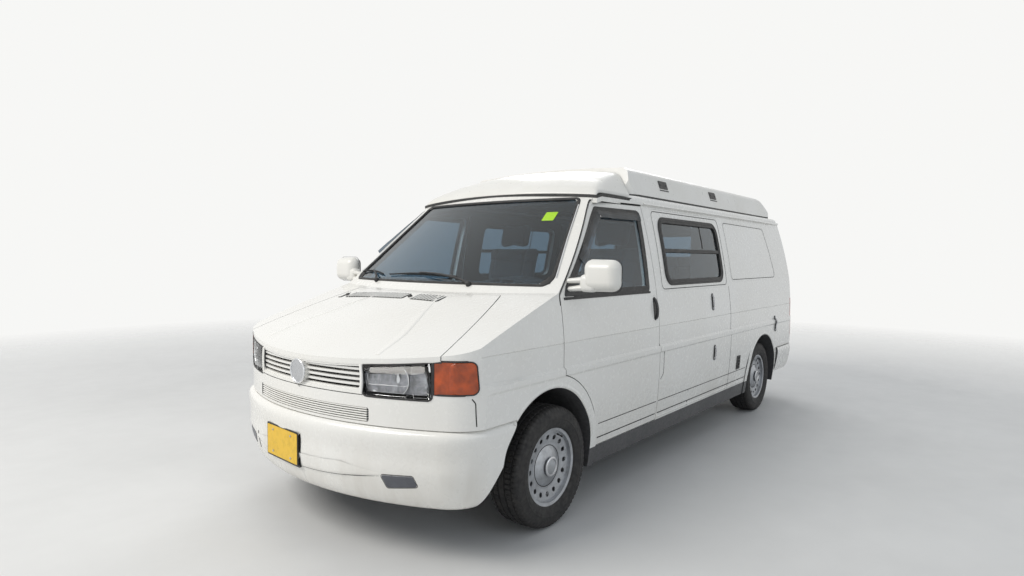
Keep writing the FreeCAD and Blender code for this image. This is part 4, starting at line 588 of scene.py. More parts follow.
# a raised patch that follows the surface it sits on
def pad(name, look, names, corners, radius, height, finish, body="body", crown=0.0, edge=0.002, step=0.02, rings=6,
        sink=0.002):
    loop = roundedLoop(corners, radius, step)
    middle = sum(loop, Vector((0, 0))) / len(loop)
    inner = grown(loop, -edge)
    layers = [(loop, -sink), (loop, height - edge), (inner, height)]
    for k in range(1, rings):
        scale = 1 - k / rings
        layers.append(([middle + (p - middle) * scale for p in inner], height + crown * (1 - scale ** 2)))
    verts = []
    for ring, lift in layers:
        verts.extend(p + n * lift for p, n in onto(look, names, ring))
    width = len(loop)
    faces = ringFaces(len(layers), width)
    top = onto(look, names, [middle])[0]
    verts.append(top[0] + top[1] * (height + crown))
    last = (len(layers) - 1) * width
    faces.extend((last + k, last + (k + 1) % width, len(verts) - 1) for k in range(width))
    faces.append(tuple(range(width)))
    return newPiece(name, verts, faces, finish, body)


# a profile of (radius, along) pairs turned round an axis
def turnedPiece(name, profile, centre, axis, finish, body="body", parts=48, smooth=30):
    lay = Vector(axis).to_track_quat("Z", "Y")
    verts = []
    for radius, along in profile:
        for k in range(parts):
            turn = 2 * math.pi * k / parts
            verts.append(Vector(centre) + lay @ Vector((radius * math.cos(turn), radius * math.sin(turn), along)))
    faces = ringFaces(len(profile), parts)
    faces.append(tuple(range(parts)))
    faces.append(tuple((len(profile) - 1) * parts + k for k in range(parts)))
    return newPiece(name, verts, faces, finish, body, smooth)


# a flat plate with rounded corners, lying in the plane of two directions
def slab(name, centre, across, up, size, finish, body="body", radius=0.01, edge=0.0015):
    across = Vector(across).normalized()
    up = (Vector(up) - across * Vector(up).dot(across)).normalized()
    out = across.cross(up)
    half = (size[0] / 2, size[1] / 2)
    loop = roundedLoop([(-half[0], -half[1]), (-half[0], half[1]), (half[0], half[1]), (half[0], -half[1])], radius)
    inner = grown(loop, -edge)
    layers = [(loop, 0), (loop, size[2] - edge), (inner, size[2])]
    verts = [Vector(centre) + across * p.x + up * p.y + out * lift for points, lift in layers for p in points]
    width = len(loop)
    faces = ringFaces(len(layers), width)
    faces.append(tuple(range(width)))
    faces.append(tuple(2 * width + k for k in range(width)))
    return newPiece(name, verts, faces, finish, body)


# corners given in millimetres behind the front axle and above the ground
def points(*pairs):
    return [(at(back / 1000), height / 1000) for back, height in pairs]


def millimetres(*pairs):
    return [(a / 1000, b / 1000) for a, b in pairs]


rubber = finishes["seal_rubber"]
trim = finishes["black_trim"]
bodyPaint = finishes["body_paint"]
chrome = mirrorMetal("bright chrome")
# near-black finish: the radio face's own black, and painted shade in gaps, grooves, slots, slits and creases
blackAndGapShade = grainedPlastic("black and painted gap shade", (0.004, 0.004, 0.004), 0.8, 200)
stainless = mirrorMetal("brushed metal", (0.55, 0.56, 0.58), 0.25)


def paperLabel(name, tone, roughness):
    f = Finish(name)
    f.color(f.mix(f.band(f.noise(30, 5), 0.45, 0.75), tone, tuple(v * 0.8 for v in tone)))
    f.rough(f.band(f.noise(60, 3), 0.3, 0.7, roughness, roughness + 0.17))
    f.bump(f.noise(500, 2), 0.06, 0.0005)
    return f.mat


groove = [(-0.0030, -0.001), (-0.0026, 0.0004), (0.0026, 0.0004), (0.0030, -0.001)]  # a pressed or open line; laid in the dark finish, its darkness is painted shade
ridge = [(-0.009, -0.0008), (-0.003, 0.0022), (0.003, 0.0022), (0.009, -0.0008)]  # a pressed bead
mirrorPaint = mouldedShell("mirror paint")
fogGrey = grainedPlastic("fog blank grey", (0.085, 0.09, 0.105), 0.35, 300)
yellowPlate = paperLabel("yellow plate", (0.83, 0.52, 0.03), 0.28)


# windscreen and cowl

screen = {"inner": 0.016, "outer": 0.008, "proud": 0.006, "line": 0.0030, "corner": 0.034, "wiperFoot": 1.243}
wipers = {"driver": {"pivot": -0.338, "tip": 0.100, "blade": ((-0.215, 1.279), (0.386, 1.279))},
          "passenger": {"pivot": 0.478, "tip": 0.640, "blade": ((0.470, 1.281), (0.782, 1.290))}}
screenCorners = millimetres((-806, 1254), (-640, 1753), (640, 1753), (806, 1254))
screenLabel = millimetres((-566, 1618), (-562, 1672), (-488, 1672), (-492, 1618))
armSection = [(-0.006, -0.003), (0.006, -0.003), (0.004, 0.004), (-0.004, 0.004)]


def addWindscreen():
    gasket("windscreen gasket", "front", ["body_shell"], screenCorners, screen["corner"],
           band(screen["inner"], screen["outer"] - 0.004, screen["proud"], 0.004, 0.006), rubber, cast=0.008)
    for name, side in sides.items():
        fillet = millimetres((side * 803, 1257), (side * 784, 1314), (side * 742, 1257))
        pad(name + " windscreen corner", "front", ["windscreen", "body_shell"], fillet, 0.006, 0.0034, rubber,
            edge=0.0008,
            rings=3)
        rise = millimetres((side * 812, 1290), (side * 738, 1490), (side * 662, 1712))
        trimLine(name + " windscreen trim", "front", ["body_shell"], rise, 0.3,
                 [(u, w + screen["proud"] - 0.0010) for u, w in roundBar(screen["line"], 8)], chrome)
    names = ["windscreen", "body_shell"]
    for name, wiper in wipers.items():
        steps = [k / 14 for k in range(15)]
        (y, z), (farY, farZ) = wiper["blade"]
        blade = [(y + (farY - y) * s, z + (farZ - z) * s + 0.010 * math.sin(math.pi * s)) for s in steps]
        path = [(p + n * 0.012, n) for p, n in onto("front", names, blade)]
        sweep(name + " wiper blade", path, [(-0.005, -0.011), (0, -0.012), (0.005, -0.011), (0.003, 0.004),
                                            (-0.003, 0.004)],
              rubber, "body", False, taper=lambda s: 0.55 + 0.45 * math.sin(math.pi * min(1,
                      s * 1.2 + 0.05)) ** 0.4)
        middle = (blade[7][0] * 0.6 + wiper["tip"] * 0.4, blade[7][1] + 0.004)
        low = screen["wiperFoot"]
        arm = [(wiper["pivot"] + (middle[0] - wiper["pivot"]) * s,
                low + (middle[1] - low) * s ** 0.7) for s in steps]
        path = [(p + n * (0.016 + 0.014 * math.sin(math.pi * s)), n)
                for (p, n), s in zip(onto("front", names, arm), steps)]
        sweep(name + " wiper arm", path, armSection, trim, "body", False, taper=lambda s: 1.3 - 0.6 * s)
        foot, normal = onto("front", names, [(wiper["pivot"], low)])[0]
        turnedPiece(name + " wiper pivot", [(0.016, 0), (0.016, 0.014), (0.011, 0.022), (0.004, 0.024)], foot,
                    normal,
                    trim, parts=24)
    f = Finish("lime paper label")
    f.color(f.mix(f.band(f.noise(90, 3), 0.4, 0.7), (0.42, 0.72, 0.03), (0.36, 0.64, 0.03)))
    f.rough(f.band(f.noise(40, 2), 0.3, 0.7, 0.5, 0.7))
    f.bump(f.noise(400, 2), 0.05, 0.0005)
    pad("blank windscreen label", "front", ["windscreen"], screenLabel, 0.004, 0.0012, f.mat, rings=2, edge=0.0004)


addWindscreen()
print("windscreen dressed")


# nose

# a node's mesh with only the faces that keep() says yes to
def chosenFaces(node, keep):
    work = bmesh.new()
    work.from_mesh(nodes[node].data)
    bmesh.ops.remove_doubles(work, verts=work.verts, dist=0.00002)
    drop = [face for face in work.faces if not keep(face.calc_center_median(), face.normal)]
    bmesh.ops.delete(work, geom=drop, context="FACES")
    return work


# a skin taken from some of a node's faces
def copiedFaces(name, node, keep, finish, push=0.0):
    work = chosenFaces(node, keep)
    if push:
        work.normal_update()
        for vert in work.verts:
            vert.co += vert.normal * push
    copy = bpy.data.meshes.new(name)
    work.to_mesh(copy)
    work.free()
    copy.materials.clear()
    copy.materials.append(finish)
    smoothed(copy, 35)
    return placed(name, copy, "body")


def thickened(piece, thickness, offset=-1):
    solid = piece.modifiers.new("thickness", "SOLIDIFY")
    solid.thickness = thickness
    solid.offset = offset


lamps = {"bowl": 0.064, "depth": 0.046, "bulb": 0.009, "behind": 0.019, "across": 0.585, "height": 0.846,
         "towardsFront": 1.6}


def lampFront(centre, normal):
    return normal.x < -0.5


def flutedMirror(name):
    f = Finish(name)
    f.color(f.mix(f.band(f.noise(26, 5, 0.7), 0.35, 0.7), (0.46, 0.47, 0.50), (0.16, 0.16, 0.17)))
    f.rough(f.band(f.noise(60, 4), 0.3, 0.7, 0.08, 0.22))
    f.put(Metallic=1.0)
    f.bump(f.waves(58, "Y"), 0.5, 0.0012)
    return f.mat


def addHeadlamps():
    bowlFinish = mirrorMetal("lamp reflector", (0.80, 0.81, 0.82), 0.10)
    housing = grainedPlastic("lamp housing", (0.012, 0.012, 0.013), 0.35, 200)
    bulbGlass = safetyGlass("bulb glass", (0.95, 0.95, 0.92), 0.02)
    lens = copiedFaces("headlamp lenses", "headlamps", lampFront, finishes["lamp_glass"])
    thickened(lens, 0.0025)
    standsFor("headlamps")
    walls = copiedFaces("headlamp housings", "headlamps", lambda c, n: not lampFront(c, n), housing)
    thickened(walls, 0.0015, 1)
    panels = copiedFaces("lamp reflector panels", "headlamps", lampFront, flutedMirror("fluted reflector"),
                         push=-lamps["behind"])
    thickened(panels, 0.001)
    for name, side in sides.items():
        there, outwards = onto("front", ["headlamps"], [(side * lamps["across"], lamps["height"])])[0]
        inwards = (Vector((lamps["towardsFront"], 0, 0)) - outwards).normalized()
        depth, bowl = lamps["depth"], lamps["bowl"]
        profile = [(0.008, depth), (0.022, depth - 0.003), (0.040, depth - 0.014), (0.053, depth - 0.030),
                   (bowl - 0.004, 0.004), (bowl, 0.0), (bowl + 0.002, 0.002), (0.057, depth - 0.028),
                   (0.008, depth + 0.003)]
        centre = there + inwards * 0.011
        turnedPiece(name + " lamp reflector", profile, centre, inwards, bowlFinish, parts=56)
        turnedPiece(name + " lamp bulb", [(0.003, 0), (lamps["bulb"], 0.004), (lamps["bulb"], 0.022),
                                          (0.006, 0.028)],
                    centre + inwards * 0.014, inwards, bulbGlass, parts=24)
        turnedPiece(name + " bulb shield", [(0.002, 0), (0.012, 0.001), (0.012, 0.010), (0.010, 0.010),
                                            (0.010, 0.003)],
                    centre + inwards * 0.006, inwards, chrome, parts=28)


# closed runs of edge round the kept faces, as pairs of point and surface normal
def outlineOf(node, keep, least=0.25):
    work = chosenFaces(node, keep)
    work.normal_update()
    left = [edge for edge in work.edges if edge.is_boundary]  # a list, so that every run starts alike
    loops = []
    while left:
        edge = left.pop()
        run = [edge.verts[0], edge.verts[1]]
        while True:
            following = [e for e in run[-1].link_edges if e in left]
            if not following:
                break
            left.remove(following[0])
            run.append(following[0].other_vert(run[-1]))
        spaced = []
        for vert in run:
            if not spaced or (vert.co - spaced[-1][0]).length > 0.007:
                spaced.append((vert.co.copy(), vert.normal.copy()))
        if (spaced[0][0] - spaced[-1][0]).length < 0.004:
            spaced.pop()
        if sum((a[0] - b[0]).length for a, b in zip(spaced, spaced[1:])) > least:
            loops.append(spaced)
    work.free()
    return loops


def outwardOnSide(centre, normal):
    return 0.75 * normal.y * math.copysign(1, centre.y) - 0.65 * normal.x > 0.35


def addLampBorders():
    for node, keep in (("headlamps", lampFront), ("indicators", outwardOnSide)):
        for k, path in enumerate(outlineOf(node, keep)):
            sweep("%s border %d" % (node, k), path, band(0.0045, 0.0035, 0.0022, 0.001, 0.004), rubber, "body")


# squares off the rear end of each indicator, over the rounder end of the solid
def addIndicatorEnds():
    amber = nodes["indicators"].material_slots[0].material
    bed = ["indicators", "body_shell"]
    for name in sides:
        pad(name + " indicator end", name, bed, points((-690, 796), (-690, 938), (-606, 938), (-593, 796)), 0.026,
            0.0030,
            amber, rings=4)
        trimLine(name + " indicator end border", name, bed,
                 points((-684, 940), (-604, 940), (-591, 794), (-684, 794)),
                 0.028, band(0.0028, 0.0028, 0.0036, 0.001, 0.004), rubber, step=0.012)


grille = {"disc": 0.837, "ring": 0.057, "ringThick": 0.0045, "endAcross": 0.410, "endLow": 0.772, "endHigh": 0.9065}
slats = {"count": 6, "low": 0.652, "high": 0.7065, "half": 0.440, "foot": 0.6425, "head": 0.7165}
slatSection = [(-0.0030, -0.010), (-0.0034, 0.0), (-0.0015, 0.0025), (0.0015, 0.0025), (0.0034, 0.0),
               (0.0030, -0.010)]


def addGrille():
    face = onto("front", ["upper_grille"], [(0, grille["disc"])])[0][0].x
    centre = Vector((face, 0, grille["disc"]))
    ring = [(grille["ring"] + grille["ringThick"] * math.cos(a), 0.001 + grille["ringThick"] * math.sin(a))
            for a in [2 * math.pi * k / 12 for k in range(13)]]
    turnedPiece("grille disc ring", ring, centre, (-1, 0, 0), chrome, parts=72)
    dome = [(0.0535, -0.001), (0.053, 0.0015), (0.040, 0.003), (0.020, 0.0042), (0.002, 0.0045)]
    turnedPiece("blank grille disc", dome, centre, (-1, 0, 0), stainless, parts=64)
    for name, side in sides.items():
        edge = side * grille["endAcross"]
        low = onto("front", ["body_shell"], [(edge, grille["endLow"])])[0][0]
        high = onto("front", ["bonnet", "body_shell"], [(edge, grille["endHigh"])])[0][0]
        path = [(low.lerp(high, k / 8) + Vector((-0.001, side * 0.006 * math.sin(math.pi * k / 8), 0)),
                 Vector((-1, 0, 0)))
                for k in range(9)]
        sweep(name + " grille end", path, band(0.009, 0.009, 0.004, 0.003, 0.012), bodyPaint, "body", False)
    run = [slats["half"] * (k / 16 - 1) for k in range(33)]
    under = onto("front", ["body_shell"], [(y, slats["foot"]) for y in run])
    over = onto("front", ["body_shell"], [(y, slats["head"]) for y in run])
    base = [(u.x, o.x) for (u, _), (o, _) in zip(under, over)]
    pieces = [("lower grille slat %d" % k, slats["low"] + (slats["high"] - slats["low"]) * k / (slats["count"] - 1))
              for k in range(slats["count"])]
    for name, z in pieces:
        share = (z - slats["foot"]) / 0.074
        path = [(Vector((u + (o - u) * share + 0.003, y, z)), Vector((-1, 0, 0))) for y, (u, o) in zip(run, base)]
        slat = sweep(name, path, slatSection, bodyPaint, "body", False)
        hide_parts("lower_grille")
    path = [(Vector((max(u, o) + 0.020, y, 0.6795)), Vector((-1, 0, 0))) for y, (u, o) in zip(run, base)]
    sweep("lower grille shade", path, [(-0.033, -0.004), (-0.033, 0.0), (0.033, 0.0), (0.033, -0.004)], blackAndGapShade,
          "body",
          False)
    dark = [(y / 1000, 0.7685) for y in range(-420, 421, 60)]
    trimLine("grille foot line", "front", ["body_shell"], dark, 0.01, band(0.0018, 0.0018, 0.0006, 0.0003, 0.001),
             blackAndGapShade)


plate = {"across": 0.13, "height": 0.455, "size": (0.305, 0.152), "lift": -0.001, "screws": (0.09, 0.055)}
fogBlank = ((0.526, 0.420), (0.676, 0.428), (0.694, 0.379), (0.551, 0.360))
overhang = {"reach": 520, "low": 0.380, "rise": 0.038,
            "section": [(-0.004, -0.001), (-0.0035, 0.0045), (0.0, 0.0060), (0.012, 0.0058), (0.034, 0.0035),
                        (0.062, -0.0010)]}


def addBumperFront():
    point, normal = onto("front", ["front_bumper"], [(plate["across"], plate["height"])])[0]
    normal = Vector((normal.x, normal.y, 0)).normalized()
    across = Vector((0, 0, 1)).cross(normal) * -1
    start = point + normal * plate["lift"]
    w, h = plate["size"]
    slab("plate mount", start - normal * 0.006, across, (0, 0, 1), (w + 0.03, h + 0.028, 0.008), trim, radius=0.012)
    slab("plate frame", start + normal * 0.002, across, (0, 0, 1), (w + 0.016, h + 0.016, 0.003), trim,
         radius=0.009)
    slab("blank number plate", start + normal * 0.0045, across, (0, 0, 1), (w, h, 0.0016), yellowPlate,
         radius=0.007, edge=0.0005)
    along, over = plate["screws"]
    for k, (a, b) in enumerate(((-along, over), (along, over), (-along, -over), (along, -over))):
        turnedPiece("plate screw %d" % k, [(0.0055, 0), (0.005, 0.002), (0.001, 0.0026)],
                    start + normal * 0.006 + across * a + Vector((0, 0, b)), normal, stainless, parts=16)
    for name, side in sides.items():
        blank = [(side * y, z) for y, z in fogBlank]
        pad(name + " fog lamp blank", "front", ["front_bumper"], blank, 0.012, 0.0020, fogGrey, rings=4)
        gasket(name + " fog blank line", "front", ["front_bumper"], blank, 0.010,
               band(0.0015, 0.0015, 0.0008, 0.0004),
               blackAndGapShade, cast=0.002)
    slot = [(0.462, 0.352), (0.462, 0.448), (0.474, 0.448), (0.474, 0.352)]
    pad("bumper slot", "front", ["front_bumper"], slot, 0.005, 0.0008, blackAndGapShade, rings=2, edge=0.0004)
    # the overhang along the lower part of the bumper, which ends at the fog blanks
    reach = overhang["reach"]
    step = [(y / 1000, overhang["low"] + overhang["rise"] * (abs(y) / reach) ** 2) for y in range(-reach, reach + 1,
            40)]
    path = onto("front", ["front_bumper"], step)
    sweep("bumper overhang", path, overhang["section"], bodyPaint, "body", False, smooth=50,
          taper=lambda s: 0.15 + 0.85 * min(1, 5 * s, 5 * (1 - s)))
    shade = onto("front", ["front_bumper"], [(y, z - 0.0058) for y, z in step])
    sweep("bumper overhang shade", shade, band(0.0026, 0.0026, 0.0007, 0.0003, 0.001), blackAndGapShade, "body", False,
          taper=lambda s: 0.2 + 0.8 * min(1, 5 * s, 5 * (1 - s)))
    seam = points((-622, 776), (-608, 756), (-606, 700), (-603, 652))
    for name in sides:
        trimLine(name + " corner seam", name, ["body_shell"], seam, 0.02, groove, blackAndGapShade)


vents = {"front": -0.252, "rear": -0.172, "pitch": 0.0235, "slatHalf": 0.0052, "slatProud": 0.0045,
         "runs": {"driver": (-0.290, -0.062), "passenger": (-0.008, 0.522), "outer": (0.554, 0.600)}}
jets = {"back": -0.215, "across": (-0.035, 0.538)}
creaseLine = ((-0.800, 0.470), (-0.615, 0.440), (-0.40, 0.335), (-0.175, 0.232))
creaseSection = [(-0.050, -0.0012), (-0.014, 0.0030), (-0.004, 0.0042), (0.004, 0.0042), (0.009, 0.0026),
                 (0.016, -0.0012)]


def addBonnetDetails():
    names = ["bonnet"]
    for name, side in sides.items():
        line = [(at(back), side * y) for back, y in creaseLine]
        path = onto("top", names, roundedLoop(line, 0.4, 0.02, False))
        sweep(name + " bonnet crease", path, creaseSection, bodyPaint, "bonnet", False,
              taper=lambda s: 0.35 + 0.65 * math.sin(math.pi * min(1, 0.1 + s)), smooth=60)
    # air slots at the back of the bonnet, over a dark bed of painted shade between the slats
    front, rear = at(vents["front"]), at(vents["rear"])
    for group, (low, high) in vents["runs"].items():
        frameCorners = [(front, low), (rear, low), (rear, high), (front, high)]
        pad(group + " vent slit shade", "top", names, frameCorners, 0.016, 0.0008, blackAndGapShade, "bonnet", rings=3, edge=0.0004)
        count = max(2, int((high - low) / vents["pitch"]))
        for k in range(count):
            y = low + 0.016 + k * (high - low - 0.03) / (count - 1)
            slat = [(front + 0.005, y + 0.006), (rear - 0.005, y - 0.006)]
            section = band(vents["slatHalf"], vents["slatHalf"], vents["slatProud"], 0.0015, 0.001)
            trimLine("%s vent slat %d" % (group, k), "top", names, slat, 0.01, section, bodyPaint, "bonnet", 0.02)
    for k, y in enumerate(jets["across"]):
        foot, normal = onto("top", names, [(at(jets["back"]), y)])[0]
        turnedPiece("washer jet %d" % k, [(0.014, -0.001), (0.013, 0.006), (0.008, 0.011), (0.002, 0.012)], foot,
                    normal,
                    trim, "bonnet", parts=24)


addHeadlamps()
addLampBorders()
addIndicatorEnds()
addGrille()
addBumperFront()
addBonnetDetails()
print("nose dressed")


# side glass, doors and fittings

smokedPlastic = safetyGlass("smoked deflector", (0.20, 0.24, 0.28), 0.05)
deflectorSection = [(-0.004, 0.006), (0.030, 0.0125), (0.056, 0.0125), (0.056, 0.0105), (0.030, 0.0100),
                    (-0.004, 0.003)]
doorGlass = points((188, 1192), (188, 1290), (634, 1698), (1088, 1698), (1053, 1192))
windowBar = {"height": 1.452, "stay": 2040}  # the bar across a middle window, and the upright above it
middleGlass = points((1332, 1234), (1332, 1664), (2352, 1664), (2352, 1234))
rearGlass = points((2560, 1234), (2560, 1664), (3640, 1664), (3640, 1234))


def addDoorGlass():
    for name in sides:
        door = "door_" + name
        glass = "door_glass_" + name
        gasket(name + " door glass frame", name, [door], doorGlass, 0.028,
               band(0.044, -0.002, 0.0035, 0.0015, 0.007), rubber, door, cast=0.012)
        corner = points((98, 1194), (122, 1246), (176, 1298), (198, 1296), (198, 1194))
        pad(name + " mirror foot", name, [door, glass], corner, 0.010, 0.006, trim, door, edge=0.003)
        # smoked wind deflector along the head of the glass
        head = points((300, 1395), (634, 1690), (1086, 1690))
        path = onto(name, [door, glass], roundedLoop(head, 0.04, 0.02, False))
        sweep(name + " wind deflector", path, deflectorSection, smokedPlastic, door, False)
        waist = points((92, 1183), (600, 1183), (1066, 1183))
        trimLine(name + " door waist strip", name, [door], waist, 0.01, band(0.007, 0.007, 0.005, 0.002), rubber,
                 door)


# an upright grip in a shallow dished surround
def paddedHandle(name, look, node, back, low, high, body, width=0.034):
    x = at(back)
    ringCorners = [(x - width, low - 0.012), (x - width, high + 0.012), (x + width, high + 0.012),
                   (x + width, low - 0.012)]
    gasket(name + " surround", look, [node], ringCorners, width * 0.95,
           [(-0.006, -0.0015), (0.0, 0.0016), (0.006, -0.0015)],
           bodyPaint, body, step=0.012)
    dish = [(x - width * 0.62, low), (x - width * 0.62, high), (x + width * 0.62, high), (x + width * 0.62, low)]
    pad(name + " dish", look, [node], dish, width * 0.6, 0.0012, trim, body, edge=0.0006, rings=3)
    steps = [k / 12 for k in range(13)]
    flat = [(x - 0.002, low + 0.008 + (high - low - 0.016) * s) for s in steps]
    path = [(p + n * (0.003 + 0.017 * math.sin(math.pi * s) ** 0.6), n) for (p, n),
            s in zip(onto(look, [node], flat), steps)]
    sweep(name + " grip", path, [(-0.011, -0.006), (-0.012, 0.002), (-0.007, 0.006), (0.007, 0.006), (0.012, 0.002),
                                 (0.011, -0.006)], trim, body, False, smooth=50)
    foot, normal = onto(look, [node], [(x, low + 0.012)])[0]
    turnedPiece(name + " lock", [(0.0085, 0.002), (0.0085, 0.009), (0.006, 0.010), (0.001, 0.010)], foot, normal,
                stainless,
                body, parts=24)


def addSideWindows():
    for name, node, corners, body in (("left middle", "body_shell", middleGlass, "body"),
                                      ("right middle", "sliding_door", middleGlass, "body"),
                                      ("right rear", "body_shell", rearGlass, "body")):
        look = name.split()[0]
        gasket(name + " window frame", look, [node], corners, 0.075, band(0.034, 0.008, 0.008, 0.003, 0.008),
               rubber, body,
               cast=0.010)
        gasket(name + " window bead", look, [node], corners, 0.075,
               [(u - 0.010, w + 0.0075) for u, w in roundBar(0.003, 8)],
               trim, body, cast=0.010)
        if "middle" in name:
            low, high = corners[0][0], corners[2][0]
            z = windowBar["height"]
            bar = [(low + 0.012, z), ((low + high) / 2, z), (high - 0.012, z)]
            trimLine(name + " window bar", look, ["side_windows"], bar, 0.01,
                     band(0.014, 0.014, 0.009, 0.003, 0.002),
                     rubber, body)
            stay = points((windowBar["stay"], 1475), (windowBar["stay"], 1640))
            trimLine(name + " pane edge", look, ["side_windows"], stay, 0.01,
                     band(0.004, 0.004, 0.003, 0.001, 0.001), rubber, body)


pressings = {
    "left middle panel": points((1240, 1185), (1240, 1725), (2440, 1725), (2440, 1185)),
    "left rear panel": points((2543, 1220), (2540, 1708), (3583, 1696), (3743, 1221)),
    "right rear panel": points((2500, 1175), (2500, 1722), (3700, 1712), (3780, 1175)),
}
sillRuns = {"left": [("door_left", 420, 1150), ("body_shell", 1180, 2860)],
            "right": [("door_right", 420, 1150), ("sliding_door", 1185, 2440), ("body_shell", 2470, 2860)]}
sillHeights = {"crease": 462, "line": 380, "bead": 352}  # millimetres above the ground


def addPressings():
    for name, corners in pressings.items():
        look = name.split()[0]
        gasket(name + " pressing", look, ["body_shell"], corners, 0.05, ridge, bodyPaint, step=0.04)
        gasket(name + " pressing shade", look, ["body_shell"], corners, 0.05, groove, blackAndGapShade, cast=-0.010,
               step=0.04)
    seam = points((2464, 340), (2464, 900), (2464, 1180))
    trimLine("left side panel joint", "left", ["body_shell"], seam, 0.01, groove, blackAndGapShade)
    for look, runs in sillRuns.items():
        for node, start, end in runs:
            body = node if node.startswith("door") else "body"
            crease, line, bead = (points(*[(back, height) for back in range(start, end, 60)], (end, height))
                                  for height in sillHeights.values())
            # dark strips of painted shade along the lower crease and the sill line
            trimLine("%s lower crease shade %d" % (look, start), look, [node], crease, 0.01, groove, blackAndGapShade, body)
            trimLine("%s sill shade line %d" % (look, start), look, [node], line, 0.01,
                     band(0.0034, 0.0034, 0.0008, 0.0004, 0.001), blackAndGapShade, body)
            trimLine("%s sill bead %d" % (look, start), look, ["body_shell"], bead, 0.01, ridge, bodyPaint)


# each arch: its centre behind the front axle and above the ground, its radius, and the degrees it runs from and to
arches = {"front": (-0.055, 0.339, 0.398, 10, 138), "rear": (3.320, 0.330, 0.380, 8, 172)}
archLip = [(0.0, -0.002), (0.001, 0.0025), (0.006, 0.0042), (0.013, 0.0030), (0.020, -0.0005)]


def addArchLips():
    for name, side in sides.items():
        for place, (back, height, radius, first, last) in arches.items():
            arc = []
            for degree in range(first, last + 1, 4):
                turn = math.radians(degree)
                arc.append((at(back) + (radius + 0.004) * math.cos(turn),
                            height + (radius + 0.004) * math.sin(turn)))
            section = [(-side * u, w) for u, w in archLip]
            path = onto(name, ["body_shell", "front_bumper", "rear_bumper"], arc)
            sweep("%s %s arch lip" % (name, place), path, section, bodyPaint, "body", False, smooth=60)


# a small bail latch on a service hatch
def hatchLatch(name, back, low, high):
    x = at(back)
    look, shell = "left", ["body_shell"]
    plateCorners = [(x - 0.020, low), (x - 0.020, high), (x + 0.020, high), (x + 0.020, low)]
    pad(name + " plate", look, shell, plateCorners, 0.019, 0.004, trim, edge=0.002, rings=3)
    loop = [(x - 0.009, low + 0.022), (x - 0.009, high - 0.03), (x + 0.009, high - 0.03), (x + 0.009, low + 0.022)]
    path = [(p + n * 0.011, n) for p, n in onto(look, shell, roundedLoop(loop, 0.008, 0.01))]
    sweep(name + " bail", path, roundBar(0.0035, 8), stainless)
    for k, z in enumerate((low + 0.018, high - 0.020)):
        foot, normal = onto(look, shell, [(x, z)])[0]
        turnedPiece("%s boss %d" % (name, k), [(0.011, 0.002), (0.010, 0.013), (0.006, 0.015), (0.001, 0.015)],
                    foot, normal,
                    stainless, parts=24)


handles = {"low": 0.998, "high": 1.149, "door": 1.116, "sliding": 1.230}
latches = {"upper hatch latch": (2.100, 1.004, 1.135), "lower hatch latch": (2.120, 0.618, 0.738),
           "rear corner latch": (3.655, 0.711, 0.862)}


def addFittings():
    for name in sides:
        door = "door_" + name
        paddedHandle(name + " door handle", name, door, handles["door"], handles["low"], handles["high"], door)
    paddedHandle("sliding door handle", "right", "sliding_door", handles["sliding"], handles["low"],
                 handles["high"], "body")
    for name, (back, low, high) in latches.items():
        hatchLatch(name, back, low, high)
    vent = points((2630, 475), (2630, 590), (2708, 590), (2708, 475))
    pad("heater outlet", "left", ["body_shell"], vent, 0.006, 0.006, trim, edge=0.002, rings=3)
    pad("heater outlet mouth", "left", ["body_shell"], grown([Vector(v) for v in vent], -0.018), 0.003, 0.0066,
        blackAndGapShade,
        edge=0.0004, rings=2)
    for k in range(3):
        z = 505 + 26 * k
        trimLine("heater outlet bar %d" % k, "left", ["body_shell"], points((2648, z), (2690, z)), 0.01,
                 band(0.0035, 0.0035, 0.010, 0.002), trim)
    flap = points((1228, 786), (1228, 640), (1190, 606))
    trimLine("fuel flap line", "left", ["body_shell"], flap, 0.03, groove, blackAndGapShade, step=0.015)
    rail = points((2460, 1130), (3000, 1130), (3680, 1130))
    trimLine("sliding door rail", "right", ["body_shell"], rail, 0.01, band(0.013, 0.013, 0.004, 0.002), trim)
    trimLine("sliding door rail slot", "right", ["body_shell"], rail, 0.01, band(0.005, 0.005, 0.0046, 0.0004),
             blackAndGapShade)


addDoorGlass()
addSideWindows()
addPressings()
addArchLips()
addFittings()
print("sides dressed")


# mirrors

def roundedBlock(size, radius, parts=4):
    work = bmesh.new()
    bmesh.ops.create_cube(work, size=1)
    for vert in work.verts:
        vert.co = Vector((vert.co.x * size[0], vert.co.y * size[1], vert.co.z * size[2]))
    bmesh.ops.bevel(work, geom=work.edges[:], offset=radius, segments=parts, affect="EDGES", profile=0.5)
    mesh = bpy.data.meshes.new("block")
    work.to_mesh(mesh)
    work.free()
    return mesh


mirror = {"back": 0.1745, "out": 1.059, "height": 1.307, "depth": 0.098, "wide": 0.209, "tall": 0.174,
          "round": 0.048,
          "prongs": ((1.232, 1.244), (1.276, 1.284)), "prongWide": 0.024, "prongThick": 0.0155}


